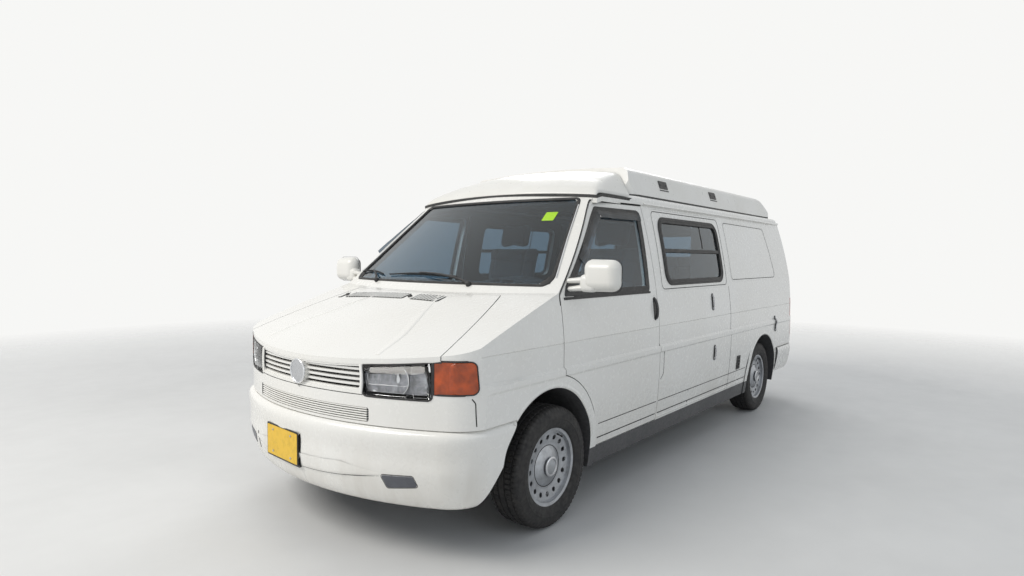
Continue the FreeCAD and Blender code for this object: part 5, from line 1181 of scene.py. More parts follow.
def addMirrorHousings():
    for name, side in sides.items():
        body = "door_" + name
        mesh = roundedBlock((mirror["depth"], mirror["wide"], mirror["tall"]), mirror["round"], 7)
        for vert in mesh.vertices:
            ahead = max(0.0, -vert.co.x / mirror["depth"] + 0.5)
            outer = max(0.0, side * vert.co.y / mirror["wide"] + 0.5)
            vert.co.y *= 1 - 0.10 * ahead ** 2
            vert.co.z *= 1 - 0.12 * ahead ** 2 - 0.05 * outer ** 2
        middle = Vector((at(mirror["back"]), side * mirror["out"], mirror["height"]))
        verts = [v.co + middle for v in mesh.vertices]
        faces = [tuple(p.vertices) for p in mesh.polygons]
        housing = newPiece(name + " mirror housing", verts, faces, mirrorPaint, body, 60)
        standsFor("mirror_" + name)
        for k, (low, high) in enumerate(mirror["prongs"]):
            steps = [j / 10 for j in range(11)]
            path = [(Vector((at(0.150 + 0.014 * s), side * (0.868 + 0.100 * s), low + (high - low) * s)),
                     Vector((0, 0, 1)))
                    for s in steps]
            section = [(mirror["prongWide"] * math.cos(a), mirror["prongThick"] * math.sin(a))
                       for a in [2 * math.pi * j / 16 for j in range(16)]]
            sweep("%s mirror prong %d" % (name, k), path, section, mirrorPaint, body, False, smooth=50,
                  taper=lambda s: 0.9 + 0.35 * s * s)
        saddle = roundedBlock((0.070, 0.098, 0.092), 0.026, 5)
        middle = Vector((at(0.168), side * 0.986, 1.266))
        newPiece(name + " mirror saddle", [v.co + middle for v in saddle.vertices],
                 [tuple(p.vertices) for p in saddle.polygons], mirrorPaint, body, 60)


def addMirrors():
    silver = mirrorMetal("mirror glass", (0.86, 0.88, 0.90), 0.01)
    for name, side in sides.items():
        rear = at(mirror["back"]) + mirror["depth"] / 2
        middle = at(mirror["back"]), side * mirror["out"], mirror["height"]
        slab(name + " mirror bezel", (rear - 0.004, middle[1], middle[2]), (0, side, 0), (0, 0, 1),
             (0.168, 0.136, 0.005), trim, "door_" + name, radius=0.030)
        slab(name + " mirror glass", (rear + 0.0002, middle[1], middle[2]), (0, 1, 0), (0, 0, 1),
             (0.152, 0.120, 0.002), silver, "door_" + name, radius=0.026, edge=0.0005)
        seamAt = middle[0] + 0.018
        rim = roundedLoop([(-0.1040, -0.0870), (-0.1040, 0.0870), (0.1040, 0.0870), (0.1040, -0.0870)], 0.040, 0.02)
        loop = [Vector((seamAt, middle[1] + p.x, middle[2] + p.y)) for p in rim]
        path = [(p, (p - Vector((seamAt, middle[1], middle[2]))).normalized()) for p in loop]
        sweep(name + " mirror seam", path, [(-0.0015, -0.001), (-0.0012, 0.0007), (0.0012, 0.0007),
                                            (0.0015, -0.001)],
              blackAndGapShade, "door_" + name)


addMirrorHousings()
addMirrors()
print("mirrors dressed")


# wheels and tyres

tyreShape = {"steps": 288, "grooves": (-0.058, -0.020, 0.020, 0.058), "grooveWidth": 0.0042, "grooveDepth": 0.0075,
             "shoulder": 0.070, "crown": 0.3155, "fall": 0.0034, "sipe": 0.0055, "middleSipe": 0.0022}
# half section of the side wall from bead to shoulder: distance from the middle plane, and radius
tyreWall = [(0.066, 0.1905), (0.074, 0.1935), (0.080, 0.198), (0.0835, 0.205), (0.0850, 0.2065), (0.0885, 0.2085),
            (0.0915, 0.216), (0.0960, 0.230), (0.0990, 0.243), (0.0990, 0.2455), (0.1003, 0.2470), (0.1010, 0.2505),
            (0.1003, 0.2540), (0.0990, 0.2555), (0.0985, 0.262), (0.0962, 0.275), (0.0935, 0.287), (0.0930, 0.2890),
            (0.0920, 0.2895), (0.0905, 0.296), (0.0880, 0.3020), (0.0830, 0.3068), (0.0760, 0.3102)]


def crownRadius(across):
    return tyreShape["crown"] - tyreShape["fall"] * (abs(across) / tyreShape["shoulder"]) ** 2


def addTyre(name, body, centre):
    shoulder = tyreShape["shoulder"]
    edges = [-shoulder, -0.064]
    for groove in tyreShape["grooves"]:
        half = tyreShape["grooveWidth"]
        edges.extend([groove - half - 0.0005, groove - half + 0.0012, groove + half - 0.0012,
                      groove + half + 0.0005])
    edges.extend([0.064, shoulder])
    section = [(-a, r, "wall") for a, r in tyreWall]
    for a in sorted(edges):
        inGroove = any(abs(a - g) < tyreShape["grooveWidth"] for g in tyreShape["grooves"])
        section.append((a, crownRadius(a) - (tyreShape["grooveDepth"] if inGroove else 0),
                        "groove" if inGroove else "tread"))
    section.extend((a, r, "wall") for a, r in reversed(tyreWall))
    count = len(section)
    steps = tyreShape["steps"]
    verts = []
    for k in range(steps):
        turn = 2 * math.pi * k / steps
        for a, r, kind in section:
            radius = r
            lane = 0 if abs(a) < 0.020 else (1 if abs(a) < 0.058 else 2)
            halfStep = 1 if a > 0 else 0
            if kind == "tread":
                # blocks cut by sipes, each lane set off from the next
                phase = (k + lane * 2 + halfStep) % 4
                if phase == 0 and lane != 0:
                    radius -= tyreShape["sipe"]
                elif phase == 2 and lane == 0:
                    radius -= tyreShape["middleSipe"]
            if kind == "wall" and r > 0.290 and (k + halfStep) % 4 == 0:
                radius -= 0.003
                a -= math.copysign(0.002, a)
            verts.append(Vector((centre.x + radius * math.cos(turn), centre.y + a,
                                 centre.z + radius * math.sin(turn))))
    faces = []
    for k in range(steps):
        n = (k + 1) % steps
        for i in range(count):
            j = (i + 1) % count
            faces.append((k * count + i, k * count + j, n * count + j, n * count + i))
    piece = newPiece(name + " tyre", verts, faces, finishes["tyre_rubber"], body, 32)
    standsFor("tyre_" + name)


capRing = [(0.052, -0.004), (0.052, 0.0012), (0.049, 0.0035), (0.044, 0.0045), (0.040, 0.0038), (0.038, -0.001),
           (0.040, -0.004)]
blankCap = [(0.0385, -0.004), (0.038, -0.0005), (0.030, 0.0012), (0.015, 0.0020), (0.001, 0.0022)]
capShadeRing = [(0.1045, -0.004), (0.1045, 0.0006), (0.1055, 0.0014), (0.1085, 0.0012), (0.1090, -0.002)]
valveStem = [(0.0052, -0.004), (0.0048, 0.010), (0.0036, 0.012), (0.0036, 0.026), (0.0048, 0.027), (0.0048, 0.034),
             (0.002, 0.036)]
wheelDetails = {"capRadius": 0.1085, "valveRadius": 0.172, "valveTurn": 62, "valveLean": 0.25}


def addWheelDetails(name, body, centre, side):
    low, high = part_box("rim_" + name)
    face = high.y if side > 0 else low.y
    out = Vector((0, side, 0))
    hub = Vector((centre.x, face, centre.z))
    turnedPiece(name + " cap ring", capRing, hub, out, stainless, body, 64)
    turnedPiece(name + " blank cap", blankCap, hub, out, finishes["wheel_paint"], body, 56)

    def onRim(radius, turn):
        spot = Vector((centre.x + radius * math.cos(turn), side * 3, centre.z + radius * math.sin(turn)))
        return touch(["rim_" + name], spot, -out)[0]

    edge = onRim(wheelDetails["capRadius"], math.pi / 16)  # between two of the rim's holes
    # a dark ring of painted shade round the cap's edge
    turnedPiece(name + " cap shade ring", capShadeRing, Vector((centre.x, edge.y, centre.z)), out, blackAndGapShade, body, 72)
    turn = math.radians(wheelDetails["valveTurn"])
    lean = Vector((-math.cos(turn), 0, -math.sin(turn))) * wheelDetails["valveLean"]
    turnedPiece(name + " valve", valveStem, onRim(wheelDetails["valveRadius"], turn), out + lean, rubber, body, 16)


for name in ("front_left", "front_right", "rear_left", "rear_right"):
    low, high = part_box("tyre_" + name)
    side = sides[name.split("_")[1]]
    middle = (low + high) / 2
    addTyre(name, "wheel_" + name, middle)
    addWheelDetails(name, "wheel_" + name, middle, side)
print("tyres and wheels done")


# roof

fairing = {"front": 0.566, "sweepBack": 0.070, "half": 0.735, "foot": 1.796, "rear": 1.062, "sideSlope": 1.36,
           "crown": 0.036, "frontCrown": 0.019, "seal": 0.017, "skirt": 0.046,
           "rise": ((0, 0.0), (0.035, 0.046), (0.135, 0.101), (0.235, 0.142), (0.390, 0.184), (0.600, 0.214))}


# how high the nose has climbed this far behind its front edge
def riseAt(run):
    steps = fairing["rise"]
    for (a, low), (b, high) in zip(steps, steps[1:]):
        if run <= b:
            return low + (high - low) * (run - a) / (b - a)
    return steps[-1][1]


def fairingFront(y):
    return fairing["front"] + fairing["sweepBack"] * (abs(y) / fairing["half"]) ** 2.4


# the lower of the rounded nose and the sloping side, with a soft edge between
def fairingHeight(back, y):
    run = back - fairingFront(y)
    share = min(1, max(0, run) / 0.20)
    crown = fairing["frontCrown"] + (fairing["crown"] - fairing["frontCrown"]) * share
    nose = 1.806 + sum(riseAt(run + shift) for shift in (-0.02, 0, 0.02)) / 3 - crown * (y / 0.6) ** 2
    wall = fairing["foot"] + fairing["sideSlope"] * (fairing["half"] - abs(y))
    soft = 0.010
    return -soft * math.log(math.exp(-nose / soft) + math.exp(-wall / soft))


def addFairing():
    across = [fairing["half"] * math.copysign(abs(k / 32) ** 0.8, k) for k in range(-32, 33)]
    rows = 22
    verts = []
    for y in across:
        top = fairingHeight(1.12, y)
        rear = fairing["rear"] + 0.38 * (top - 1.80)
        start = fairingFront(y)
        for row in range(rows + 1):
            back = start + (rear - start) * (row / rows) ** 1.3
            verts.append(Vector((at(back), y, fairingHeight(back, y))))
        verts.append(Vector((at(fairing["rear"]), y, 1.796)))
    width = rows + 2
    faces = [(c * width + r, c * width + r + 1, (c + 1) * width + r + 1, (c + 1) * width + r)
             for c in range(len(across) - 1) for r in range(width - 1)]
    piece = newPiece("moulded roof fairing", verts, faces, finishes["roof_shell_paint"], "body", 50, False)
    thickened(piece, 0.004)
    standsFor("roof_fairing")
    half = fairing["half"] + 0.004
    front = [k / 16 - 1 for k in range(33)]
    over = Vector((0, 0, 1))
    path = [(Vector((at(back), -half, fairingHeight(back, half) - 0.002)), over) for back in (1.065, 0.95, 0.80,
            0.69)]
    path += [(Vector((at(fairingFront(half * s)) - 0.001, half * s,
                      fairingHeight(fairingFront(half * s), half * s) - 0.001)),
              over) for s in front]
    path += [(Vector((at(back), half, fairingHeight(back, half) - 0.002)), over) for back in (0.69, 0.80, 0.95,
            1.065)]
    strip = [(-0.004, -fairing["seal"]), (-0.004, 0.0015), (0.004, 0.0015), (0.004, -fairing["seal"])]
    sweep("fairing seal", path, strip, rubber, "body", False)
    skirt = [(-0.0028, -fairing["skirt"]), (-0.0028, -0.010), (0.0028, -0.010), (0.0028, -fairing["skirt"])]
    sweep("fairing skirt", path, skirt, bodyPaint, "body", False)


brackets = {"places": ((1.570, 1.705), (2.516, 2.650)), "low": 1.900, "high": 1.957}
lidSeal = 1.8145  # height of its middle


def addRoofParts():
    for name in sides:
        line = [(at(1.13 + 0.245 * k), lidSeal) for k in range(12)] + [(at(4.02), lidSeal)]
        trimLine(name + " lid seal", name, ["roof_seal"], line, 0.01, band(0.011, 0.011, 0.003, 0.0015), rubber)
    low, high = brackets["low"], brackets["high"]
    for k, (start, end) in enumerate(brackets["places"]):
        for name in sides:
            corners = [(at(start), low), (at(start), high), (at(end), high), (at(end), low)]
            pad("%s roof bracket %d" % (name, k), name, ["pop_top"], corners, 0.006, 0.004, trim, "pop_top",
                edge=0.0015, rings=3)
            for j, back in enumerate((start + 0.020, end - 0.020)):
                foot, normal = onto(name, ["pop_top"], [(at(back), 1.929)])[0]
                turnedPiece("%s bracket %d screw %d" % (name, k, j),
                            [(0.008, 0.003), (0.0075, 0.0065), (0.001, 0.008)],
                            foot, normal, trim, "pop_top", 20)
            # a black strip of painted shadow under each bracket
            shade = [(at(start) - 0.004, low - 0.012), (at(end) + 0.004, low - 0.012)]
            trimLine("%s bracket %d ledge" % (name, k), name, ["pop_top"], shade, 0.01,
                     band(0.004, 0.004, 0.003, 0.001),
                     trim, "pop_top")


shut = {"inset": 0.008, "near": 0.0036, "far": 0.0070, "top": -0.0045, "foot": -0.013}
doorEdge = points((60, 1010), (60, 1200), (616, 1738), (1128, 1738), (1164, 975), (1164, 420))
slideEdge = points((1176, 420), (1176, 1738), (2452, 1738), (2452, 420))
gateEdge = millimetres((-745, 640), (-685, 1758), (685, 1758), (745, 640))


# black rubber down in the gap round an opening
def shutSeal(name, look, names, corners, radius):
    flat = roundedLoop(corners, radius, 0.03, False)
    middle = sum(flat, Vector((0, 0))) / len(flat)
    outside = []
    for index, point in enumerate(flat):
        along = flat[min(index + 1, len(flat) - 1)] - flat[max(index - 1, 0)]
        off = Vector((along.y, -along.x)).normalized()
        outside.append(point + off * math.copysign(shut["inset"], off.dot(point - middle)))
    turn = -1 if look == "right" else 1
    section = [(turn * shut["near"], shut["foot"]), (turn * shut["near"], shut["top"]),
               (turn * shut["far"], shut["top"]),
               (turn * shut["far"], shut["foot"])]
    sweep(name, onto(look, names, outside), section, rubber, "body", False)


def addShutSeals():
    for name in sides:
        shutSeal(name + " door shut seal", name, ["body_shell", "sliding_door"], doorEdge, 0.05)
    shutSeal("sliding door shut seal", "right", ["body_shell", "door_right"], slideEdge, 0.04)
    shutSeal("tailgate shut seal", "rear", ["body_shell"], gateEdge, 0.065)


railSection = [(-0.007, -0.001), (-0.006, 0.005), (-0.001, 0.009), (0.003, 0.008), (0.001, 0.003), (0.004, -0.001)]


def addDripRails():
    head = points((52, 1150), (52, 1206), (611, 1746), (1135, 1746))
    line = points((1150, 1756), (1800, 1757), (2400, 1758), (3900, 1756))
    for name in sides:
        # a dark strip of painted shade along the shut line over the door
        trimLine(name + " door head line", name, ["body_shell"], head, 0.05,
                 band(0.0035, 0.0035, 0.0012, 0.0005, 0.001),
                 blackAndGapShade)
        trimLine(name + " drip rail", name, ["body_shell"], line, 0.2, railSection, bodyPaint)


addFairing()
addRoofParts()
addDripRails()
addShutSeals()
print("roof dressed")


# rear

gate = {"wires": 9, "wireLow": 1.245, "wireStep": 0.046, "wireHalf": 0.56, "plate": 0.915,
        "plateSize": (0.520, 0.110),
        "grip": 1.048, "gripHalf": 0.120, "lampHeight": (1.018, 1.034), "lampAcross": 0.075}
rearWiper = {"pivot": (0.0, 1.150), "arm": ((0.16, 1.208), (0.34, 1.215)), "blade": ((0.06, 1.222), (0.44, 1.222))}
gripSection = [(-0.016, -0.012), (-0.018, 0.004), (-0.010, 0.011), (0.010, 0.011), (0.017, 0.003), (0.016, -0.012)]
tailBands = {"across": (0.775, 0.850), "clear": (0.640, 0.742), "amber": (0.905, 1.008)}


def addRear():
    corners = millimetres((-630, 1180), (-610, 1660), (610, 1660), (630, 1180))
    gasket("tailgate glass frame", "rear", ["tailgate"], corners, 0.06, band(0.024, 0.010, 0.005, 0.003, 0.007),
           rubber,
           "tailgate", cast=0.010)
    for k in range(gate["wires"]):
        z = gate["wireLow"] + gate["wireStep"] * k
        line = [(-gate["wireHalf"], z), (0, z), (gate["wireHalf"], z)]
        trimLine("heater wire %d" % k, "rear", ["tailgate_glass"], line, 0.01,
                 band(0.0008, 0.0008, 0.0004, 0.0002, 0.0002),
                 stainless, "tailgate", step=0.05)
    recess = millimetres((-290, 842), (-290, 1010), (290, 1010), (290, 842))
    gasket("plate recess lip", "rear", ["tailgate"], recess, 0.03, ridge, bodyPaint, "tailgate")
    point, normal = onto("rear", ["tailgate"], [(0, gate["plate"])])[0]
    across = Vector((0, 1, 0))
    up = normal.cross(across)
    wide, tall = gate["plateSize"]
    slab("rear plate frame", point + normal * 0.002, across, up, (wide + 0.020, tall + 0.016, 0.004), trim,
         "tailgate",
         radius=0.008)
    slab("rear blank plate", point + normal * 0.0055, across, up, (wide, tall, 0.0015), yellowPlate, "tailgate",
         radius=0.006, edge=0.0005)
    handle = [(-gate["gripHalf"], gate["grip"]), (gate["gripHalf"], gate["grip"])]
    path = [(p + n * 0.012, n) for p, n in onto("rear", ["tailgate"], roundedLoop(handle, 0.01, 0.02, False))]
    sweep("tailgate grip", path, gripSection, trim, "tailgate", False)
    low, high = gate["lampHeight"]
    for k, side in enumerate(sides.values()):
        y = side * gate["lampAcross"]
        patch = [(y - 0.03, low), (y - 0.03, high), (y + 0.03, high), (y + 0.03, low)]
        pad("plate lamp %d" % k, "rear", ["tailgate"], patch, 0.006, 0.004, finishes["lamp_glass"], "tailgate",
            rings=3)
    pivot, normal = onto("rear", ["tailgate", "tailgate_glass"], [rearWiper["pivot"]])[0]
    turnedPiece("rear wiper pivot", [(0.022, -0.002), (0.021, 0.016), (0.014, 0.024), (0.004, 0.026)], pivot,
                normal, trim,
                "tailgate", 32)
    names = ["tailgate", "tailgate_glass"]
    arm = roundedLoop([rearWiper["pivot"], *rearWiper["arm"]], 0.05, 0.02, False)
    path = [(p + n * 0.020, n) for p, n in onto("rear", names, arm)]
    sweep("rear wiper arm", path, armSection, trim, "tailgate", False, taper=lambda s: 1.4 - 0.7 * s)
    blade = roundedLoop(rearWiper["blade"], 0.01, 0.02, False)
    path = [(p + n * 0.013, n) for p, n in onto("rear", names, blade)]
    sweep("rear wiper blade", path, [(-0.005, -0.0125), (0, -0.013), (0.005, -0.0125), (0.003, 0.004),
                                     (-0.003, 0.004)],
          rubber, "tailgate", False)
    inner, outer = tailBands["across"]
    for name, side in sides.items():
        for k, (kind, slot) in enumerate((("clear", "lamp_glass"), ("amber", "amber_lens"))):
            low, high = tailBands[kind]
            finish = finishes[slot]
            patch = [(side * inner, low), (side * inner, high), (side * outer, high), (side * outer, low)]
            pad("%s tail lamp band %d" % (name, k), "rear", ["tail_lamps"], patch, 0.004, 0.0012, finish, rings=3,
                edge=0.0005)


def addBumperRear():
    trimLine("rear bumper step", "rear", ["rear_bumper"], [(-0.62, 0.500), (0.62, 0.500)], 0.01, ridge, trim)


addRear()
addBumperRear()
print("rear dressed")


# seats

cushions = {"voxel": 0.012, "pressure": 4.0, "frames": 20, "cap": 0.024, "start": 0.018, "seamWidth": 0.009}


# takes the mesh as the modifiers leave it, and the modifiers off
def settled(piece):
    found = bpy.context.evaluated_depsgraph_get()
    mesh = bpy.data.meshes.new_from_object(piece.evaluated_get(found))
    piece.modifiers.clear()
    piece.data = mesh


# a sewn cushion: blown up as cloth, brought to its size, then drawn in along its seams
def puffed(name, size, radius, seams, flatFoot):
    start = [s - 2 * cushions["start"] for s in size]
    piece = bpy.data.objects.new(name, roundedBlock(start, radius))
    bpy.context.scene.collection.objects.link(piece)
    remesh = piece.modifiers.new("even mesh", "REMESH")
    remesh.mode = "VOXEL"
    remesh.voxel_size = cushions["voxel"]
    settled(piece)
    first = [v.co.copy() for v in piece.data.vertices]
    cloth = piece.modifiers.new("stuffing", "CLOTH")
    cloth.settings.use_pressure = True
    cloth.settings.uniform_pressure_force = cushions["pressure"]
    cloth.settings.effector_weights.gravity = 0
    for count in range(1, cushions["frames"] + 1):
        bpy.context.scene.frame_set(count)
    settled(piece)
    bpy.context.scene.frame_set(1)
    for vert, was in zip(piece.data.vertices, first):
        move = vert.co - was
        if move.length > cushions["cap"]:
            vert.co = was + move.normalized() * cushions["cap"]
    finer = piece.modifiers.new("finer mesh", "SUBSURF")
    finer.levels = 1
    finer.render_levels = 1
    settled(piece)
    verts = piece.data.vertices
    low = [min(v.co[k] for v in verts) for k in range(3)]
    high = [max(v.co[k] for v in verts) for k in range(3)]
    for vert in verts:
        for k in range(3):
            vert.co[k] = size[k] * ((vert.co[k] - low[k]) / (high[k] - low[k]) - 0.5)
        if flatFoot:
            vert.co.z = max(vert.co.z, 0.006 - size[2] / 2)
    piece.data.update()
    facing = [v.normal.copy() for v in verts]
    for vert, normal in zip(verts, facing):
        for seam in seams:
            if normal[seam["face"]] * seam["side"] > 0.25:
                away = abs(vert.co[seam["axis"]] - seam["at"]) / cushions["seamWidth"]
                if away < 3:
                    vert.co -= normal * seam["depth"] * math.exp(-away * away)
    piece.data.polygons.foreach_set("use_smooth", [True] * len(piece.data.polygons))
    return piece


def placedCushion(pattern, name, centre, lean, node):
    mesh = pattern.data.copy()
    lay = Matrix.Translation(centre) @ Matrix.Rotation(math.radians(lean), 4, "Y")
    mesh.transform(lay)
    mesh.materials.clear()
    mesh.materials.append(finishes["seat_fabric"])
    piece = placed(name, mesh, "body")
    standsFor(node)


# sewn channels on the face of one axis, lying across another at these places
def acrossSeams(face, side, axis, places, depth):
    return [{"face": face, "side": side, "axis": axis, "at": place, "depth": depth} for place in places]


# front seats: squab, leaned back and headrest, each made once and set twice, in the boxes given here
frontSeat = {"squabSize": (0.500, 0.500, 0.130), "backWide": 0.470, "headWide": 0.270, "lean": 14, "boxes": {
    "squab": (Vector((-0.9645, 0.190, 0.7453)), Vector((-0.4645, 0.690, 0.8753))),
    "back": (Vector((-0.5289, 0.205, 0.8644)), Vector((-0.2777, 0.675, 1.4797))),
    "head": (Vector((-0.3807, 0.305, 1.4716)), Vector((-0.2589, 0.575, 1.6663)))}}
bench = {"squabSize": (0.520, 1.010, 0.104), "squabAt": (1.3155, 0.105, 0.8123), "lean": 14, "wide": 1.010,
         "backBox": (Vector((1.5111, -0.4, 0.8534)), Vector((1.755, 0.61, 1.4396)))}


# the upright block's thickness and height from the box that it fills when leaned
def leanedSize(across, box, lean):
    low, high = box
    rise, run = high.z - low.z, high.x - low.x
    turn = math.radians(lean)
    c, s = math.cos(turn), math.sin(turn)
    height = (rise * c - run * s) / (c * c - s * s)
    thick = (run * c - rise * s) / (c * c - s * s)
    return (thick, across, height)


def addFrontSeats():
    boxes, leaned = frontSeat["boxes"], frontSeat["lean"]
    squab = puffed("squab pattern", frontSeat["squabSize"], 0.036,
                   acrossSeams(2, 1, 1, (-0.150, 0.150), 0.011) + acrossSeams(2, 1, 0, (-0.06, 0.08), 0.006), True)
    backSize = leanedSize(frontSeat["backWide"], boxes["back"], leaned)
    back = puffed("back pattern", backSize, 0.036,
                  acrossSeams(0, -1, 1, (-0.145, 0.145), 0.011) + acrossSeams(0, -1, 2, (-0.12, 0.05, 0.20), 0.006),
                  False)
    headSize = leanedSize(frontSeat["headWide"], boxes["head"], leaned)
    head = puffed("headrest pattern", headSize, 0.026, acrossSeams(0, -1, 1, (-0.095, 0.095), 0.004), False)
    for name, side in sides.items():
        for part, pattern, lean in (("squab", squab, 0), ("back", back, leaned), ("head", head, leaned)):
            low, high = boxes[part]
            centre = (low + high) / 2
            centre.y *= side
            placedCushion(pattern, "%s seat %s" % (name, part), centre, lean, "front_seats")
    for pattern in (squab, back, head):
        bpy.data.objects.remove(pattern)


def addBench():
    squab = puffed("bench squab pattern", bench["squabSize"], 0.034, acrossSeams(2, 1, 1, (-0.165, 0.165), 0.010),
                   True)
    placedCushion(squab, "bench squab", Vector(bench["squabAt"]), 0, "rear_bench")
    low, high = bench["backBox"]
    size = leanedSize(bench["wide"], bench["backBox"], bench["lean"])
    back = puffed("bench back pattern", size, 0.034,
                  acrossSeams(0, -1, 1, (-0.165, 0.165), 0.010) + acrossSeams(0, -1, 2, (0.16,), 0.006), False)
    placedCushion(back, "bench back", (low + high) / 2, bench["lean"], "rear_bench")
    for pattern in (squab, back):
        bpy.data.objects.remove(pattern)


addFrontSeats()
addBench()
print("seats sewn and set")


# tent canvas between the roof and the lifting lid

tent = {"base": 1.8135, "top": 1.9120, "folds": 9, "depth": 0.0095, "half": 0.699, "corner": 0.085, "step": 0.04,
        "lean": 0.344}


def addTent():
    low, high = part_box("tent_canvas")
    rows = tent["folds"] * 4
    front, rear, half = low.x + 0.013, high.x - 0.013, tent["half"]
    corners = [(front, -half), (front, half), (rear, half), (rear, -half)]
    loop = roundedLoop(corners, tent["corner"], tent["step"])
    outward = [(b - a).normalized() for a, b in zip(grown(loop, 0), grown(loop, 0.01))]
    verts = []
    for row in range(rows + 1):
        share = row / rows
        z = tent["base"] + (tent["top"] - tent["base"]) * share
        lean = tent["lean"] * (z - tent["base"])
        for index, (point, out) in enumerate(zip(loop, outward)):
            ripple = tent["depth"] * math.cos(2 * math.pi * tent["folds"] * share)
            ripple *= 1 + 0.12 * math.sin(index * 0.7 + row * 0.3)
            side = lean if abs(out.y) > 0.5 else 0.10 * lean
            spot = point + out * (ripple - side)
            verts.append(Vector((spot.x, spot.y, z + 0.0008 * math.sin(index * 0.9 + row))))
    count = len(loop)
    faces = ringFaces(rows + 1, count)
    piece = newPiece("pleated tent", verts, faces, finishes["tent_fabric"], None, 60, False)
    standsFor("tent_canvas")
    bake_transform(piece)


addTent()
print("tent canvas folded")


# cab

gauges = {"middle": -0.43, "back": 0.245, "half": 0.195, "foot": 0.012, "rise": 0.052, "depth": 0.150,
          "drop": 0.012,
          "thin": 0.008, "dials": (-0.50, -0.36)}
dashVents = {"across": (-0.70, -0.10, 0.10, 0.70), "height": 1.13, "bars": 4, "barStep": 0.014}


def addCab():
    dash = ["dashboard"]
    middle, foot, depth, drop, thin = (gauges[k] for k in ("middle", "foot", "depth", "drop", "thin"))
    hood = []
    for k in range(13):
        turn = math.pi * k / 12
        hood.append((middle - gauges["half"] * math.cos(turn), foot + gauges["rise"] * math.sin(turn) ** 0.7))
    base = touch(dash, Vector((at(gauges["back"]), middle, 3)), Vector((0, 0, -1)))[0]
    verts = []
    for back, fall, wall in ((0.0, 0.0, 0.0), (0.0, 0.0, thin), (-depth, drop, thin), (-depth, drop, 0.0)):
        for y, z in hood:
            inward = 1 - wall / 0.06
            verts.append(Vector((base.x + back + 0.055, middle + (y - middle) * inward,
                                 base.z - 0.014 + (z - foot) * inward + foot - fall)))
    count = len(hood)
    faces = [(j * count + k, j * count + k + 1, ((j + 1) % 4) * count + k + 1, ((j + 1) % 4) * count + k)
             for j in range(4) for k in range(count - 1)]
    faces.append(tuple(j * count for j in range(4)))
    faces.append(tuple(j * count + count - 1 for j in range(4)))
    newPiece("gauge hood", verts, faces, finishes["dash_plastic"], "body", 40)
    for k, y in enumerate(gauges["dials"]):
        there = Vector((base.x + 0.020, y, base.z + 0.012))
        turnedPiece("gauge ring %d" % k, [(0.036, -0.010), (0.036, 0.006), (0.032, 0.007), (0.032, -0.001),
                                          (0.001, -0.001)],
                    there, (1, 0, 0.25), trim, "body", 40)
    for k, y in enumerate(dashVents["across"]):
        point, normal = touch(dash, Vector((0, y, dashVents["height"])), Vector((-1, 0, 0)))
        slab("cab vent %d" % k, point + normal * 0.001, (0, -1, 0), (0, 0, 1), (0.110, 0.060, 0.008), trim, "body",
             0.014)
        for j in range(dashVents["bars"]):
            there = point + normal * 0.008 + Vector((0, 0, -0.021 + dashVents["barStep"] * j))
            slab("cab vent %d bar %d" % (k, j), there, (0, -1, 0), (0, 0, 1), (0.094, 0.004, 0.003), blackAndGapShade,
                 "body",
                 0.0018, 0.0008)
    point, normal = touch(dash, Vector((0, 0.0, 1.00)), Vector((-1, 0, 0)))
    slab("radio front", point + normal * 0.001, (0, -1, 0), (0, 0, 1), (0.190, 0.060, 0.010), blackAndGapShade, "body",
         0.006)
    for k, y in enumerate((-0.078, 0.078)):
        turnedPiece("radio knob %d" % k, [(0.013, 0), (0.012, 0.014), (0.010, 0.016), (0.001, 0.016)],
                    point + normal * 0.010 + Vector((0, y, 0)), normal, stainless, "body", 28)


card = points((560, 430), (450, 650), (310, 800), (130, 880), (120, 1140), (1110, 1140), (1110, 430))
restSection = [(-0.020, -0.014), (-0.022, 0.016), (-0.012, 0.030), (0.012, 0.030), (0.022, 0.016), (0.020, -0.014)]


def addDoorCards():
    for name in sides:
        door = "door_" + name
        look = "inner " + name
        pad(name + " door card", look, [door], card, 0.05, 0.004, finishes["dash_plastic"], door, edge=0.002,
            step=0.04)
        rest = points((420, 985), (980, 985))
        path = [(p + n * 0.014, n) for p, n in onto(look, [door], roundedLoop(rest, 0.01, 0.03, False))]
        sweep(name + " arm rest", path, restSection, trim, door, False, smooth=50)
        pocket = points((640, 480), (600, 650), (1000, 650), (1000, 480))
        gasket(name + " door pocket lip", look, [door], pocket, 0.05, band(0.006, 0.006, 0.012, 0.004), trim, door)


addCab()
addDoorCards()
print("cab fitted")


# room and light

studio = {"floor": (0.74, 0.74, 0.73), "mottle": (0.69, 0.69, 0.68), "wall": 0.93, "sky": 0.46, "fade": (4.5, 11.0),
          "size": 30}
# each lamp: where it stands, what it faces, its size, power and tint
studioLamps = {"key": ((-7.5, 2.5, 6.5), (-1.5, 0, 0.9), (5, 4), 500, (1.0, 0.97, 0.92)),
               "fill": ((-1.5, -8.5, 4.5), (0, 0, 1.0), (8, 4), 80, (0.80, 0.90, 1.0)),
               "rim": ((6.5, 3.5, 5.5), (0.5, 0, 1.0), (5, 4), 150, (1.0, 1.0, 1.0))}


def areaLamp(name, place, target, size, power, tint):
    data = bpy.data.lights.new(name, "AREA")
    data.shape = "RECTANGLE"
    data.size, data.size_y = size
    data.energy = power
    data.color = tint
    lamp = bpy.data.objects.new(name, data)
    lamp.location = place
    lamp.rotation_euler = (Vector(target) - Vector(place)).to_track_quat("-Z", "Y").to_euler()
    bpy.context.scene.collection.objects.link(lamp)


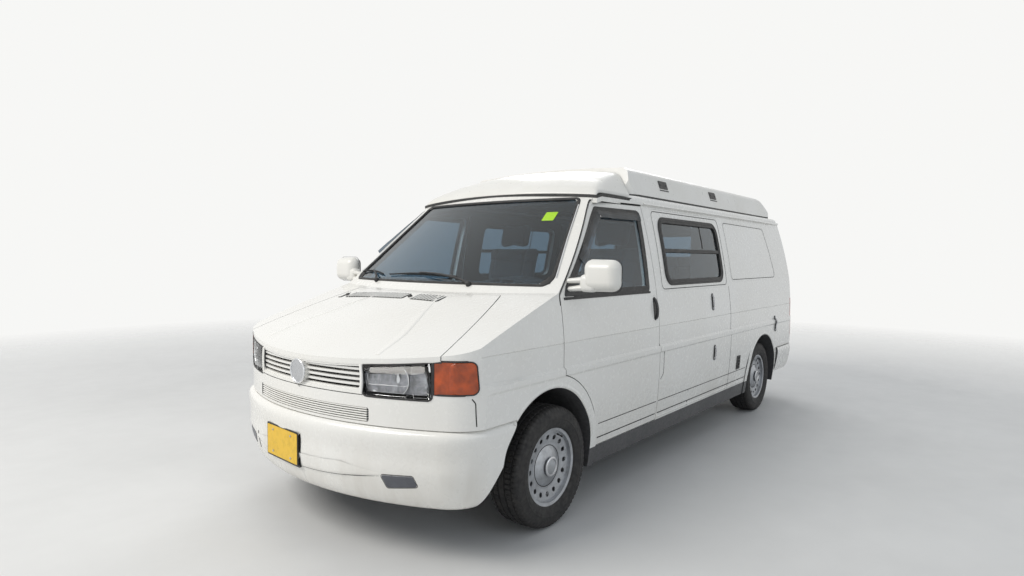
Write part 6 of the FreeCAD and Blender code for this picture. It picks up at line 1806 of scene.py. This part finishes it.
def addFloor():
    f = Finish("studio floor")
    f.color(f.mix(f.band(f.noise(0.9, 6, 0.6), 0.35, 0.7), studio["floor"], studio["mottle"]))
    f.rough(f.band(f.noise(6, 5), 0.3, 0.7, 0.45, 0.65))
    f.bump(f.noise(60, 4), 0.05, 0.002)
    # far away the floor gives way to the white behind it
    place = f.coordinates()
    away = f.times(f.times(f.times(place["X"], place["X"]), f.times(place["Y"], place["Y"]), "ADD"), 0.5, "POWER")
    clear = f.node("ShaderNodeBsdfTransparent")
    blend = f.node("ShaderNodeMixShader")
    f.link(f.band(away, *studio["fade"]), blend.inputs[0])
    f.link(f.shader.outputs[0], blend.inputs[1])
    f.link(clear.outputs[0], blend.inputs[2])
    f.link(blend.outputs[0], f.out.inputs["Surface"])
    mesh = bpy.data.meshes.new("floor")
    far = studio["size"]
    mesh.from_pydata([(-far, -far, 0), (far, -far, 0), (far, far, 0), (-far, far, 0)], [], [(0, 1, 2, 3)])
    mesh.materials.append(f.mat)
    floor = bpy.data.objects.new("floor", mesh)
    bpy.context.scene.collection.objects.link(floor)


def addBackdrop():
    world = bpy.data.worlds.new("studio")
    bpy.context.scene.world = world
    world.use_nodes = True
    tree = world.node_tree
    back = tree.nodes["Background"]
    back.inputs["Color"].default_value = (0.90, 0.945, 1.0, 1)
    back.inputs["Strength"].default_value = studio["sky"]
    seen = tree.nodes.new("ShaderNodeBackground")  # what the camera, glass and gloss show
    seen.inputs["Color"].default_value = (1, 1, 0.985, 1)
    seen.inputs["Strength"].default_value = studio["wall"]
    path = tree.nodes.new("ShaderNodeLightPath")
    either = path.outputs["Is Camera Ray"]
    for ray in ("Is Transmission Ray", "Is Glossy Ray"):
        larger = tree.nodes.new("ShaderNodeMath")
        larger.operation = "MAXIMUM"
        tree.links.new(either, larger.inputs[0])
        tree.links.new(path.outputs[ray], larger.inputs[1])
        either = larger.outputs[0]
    blend = tree.nodes.new("ShaderNodeMixShader")
    tree.links.new(either, blend.inputs[0])
    tree.links.new(back.outputs[0], blend.inputs[1])
    tree.links.new(seen.outputs[0], blend.inputs[2])
    tree.links.new(blend.outputs[0], tree.nodes["World Output"].inputs["Surface"])


addFloor()
addBackdrop()
for name, (place, target, size, power, tint) in studioLamps.items():
    areaLamp(name, place, target, size, power, tint)
print("room and lamps placed")
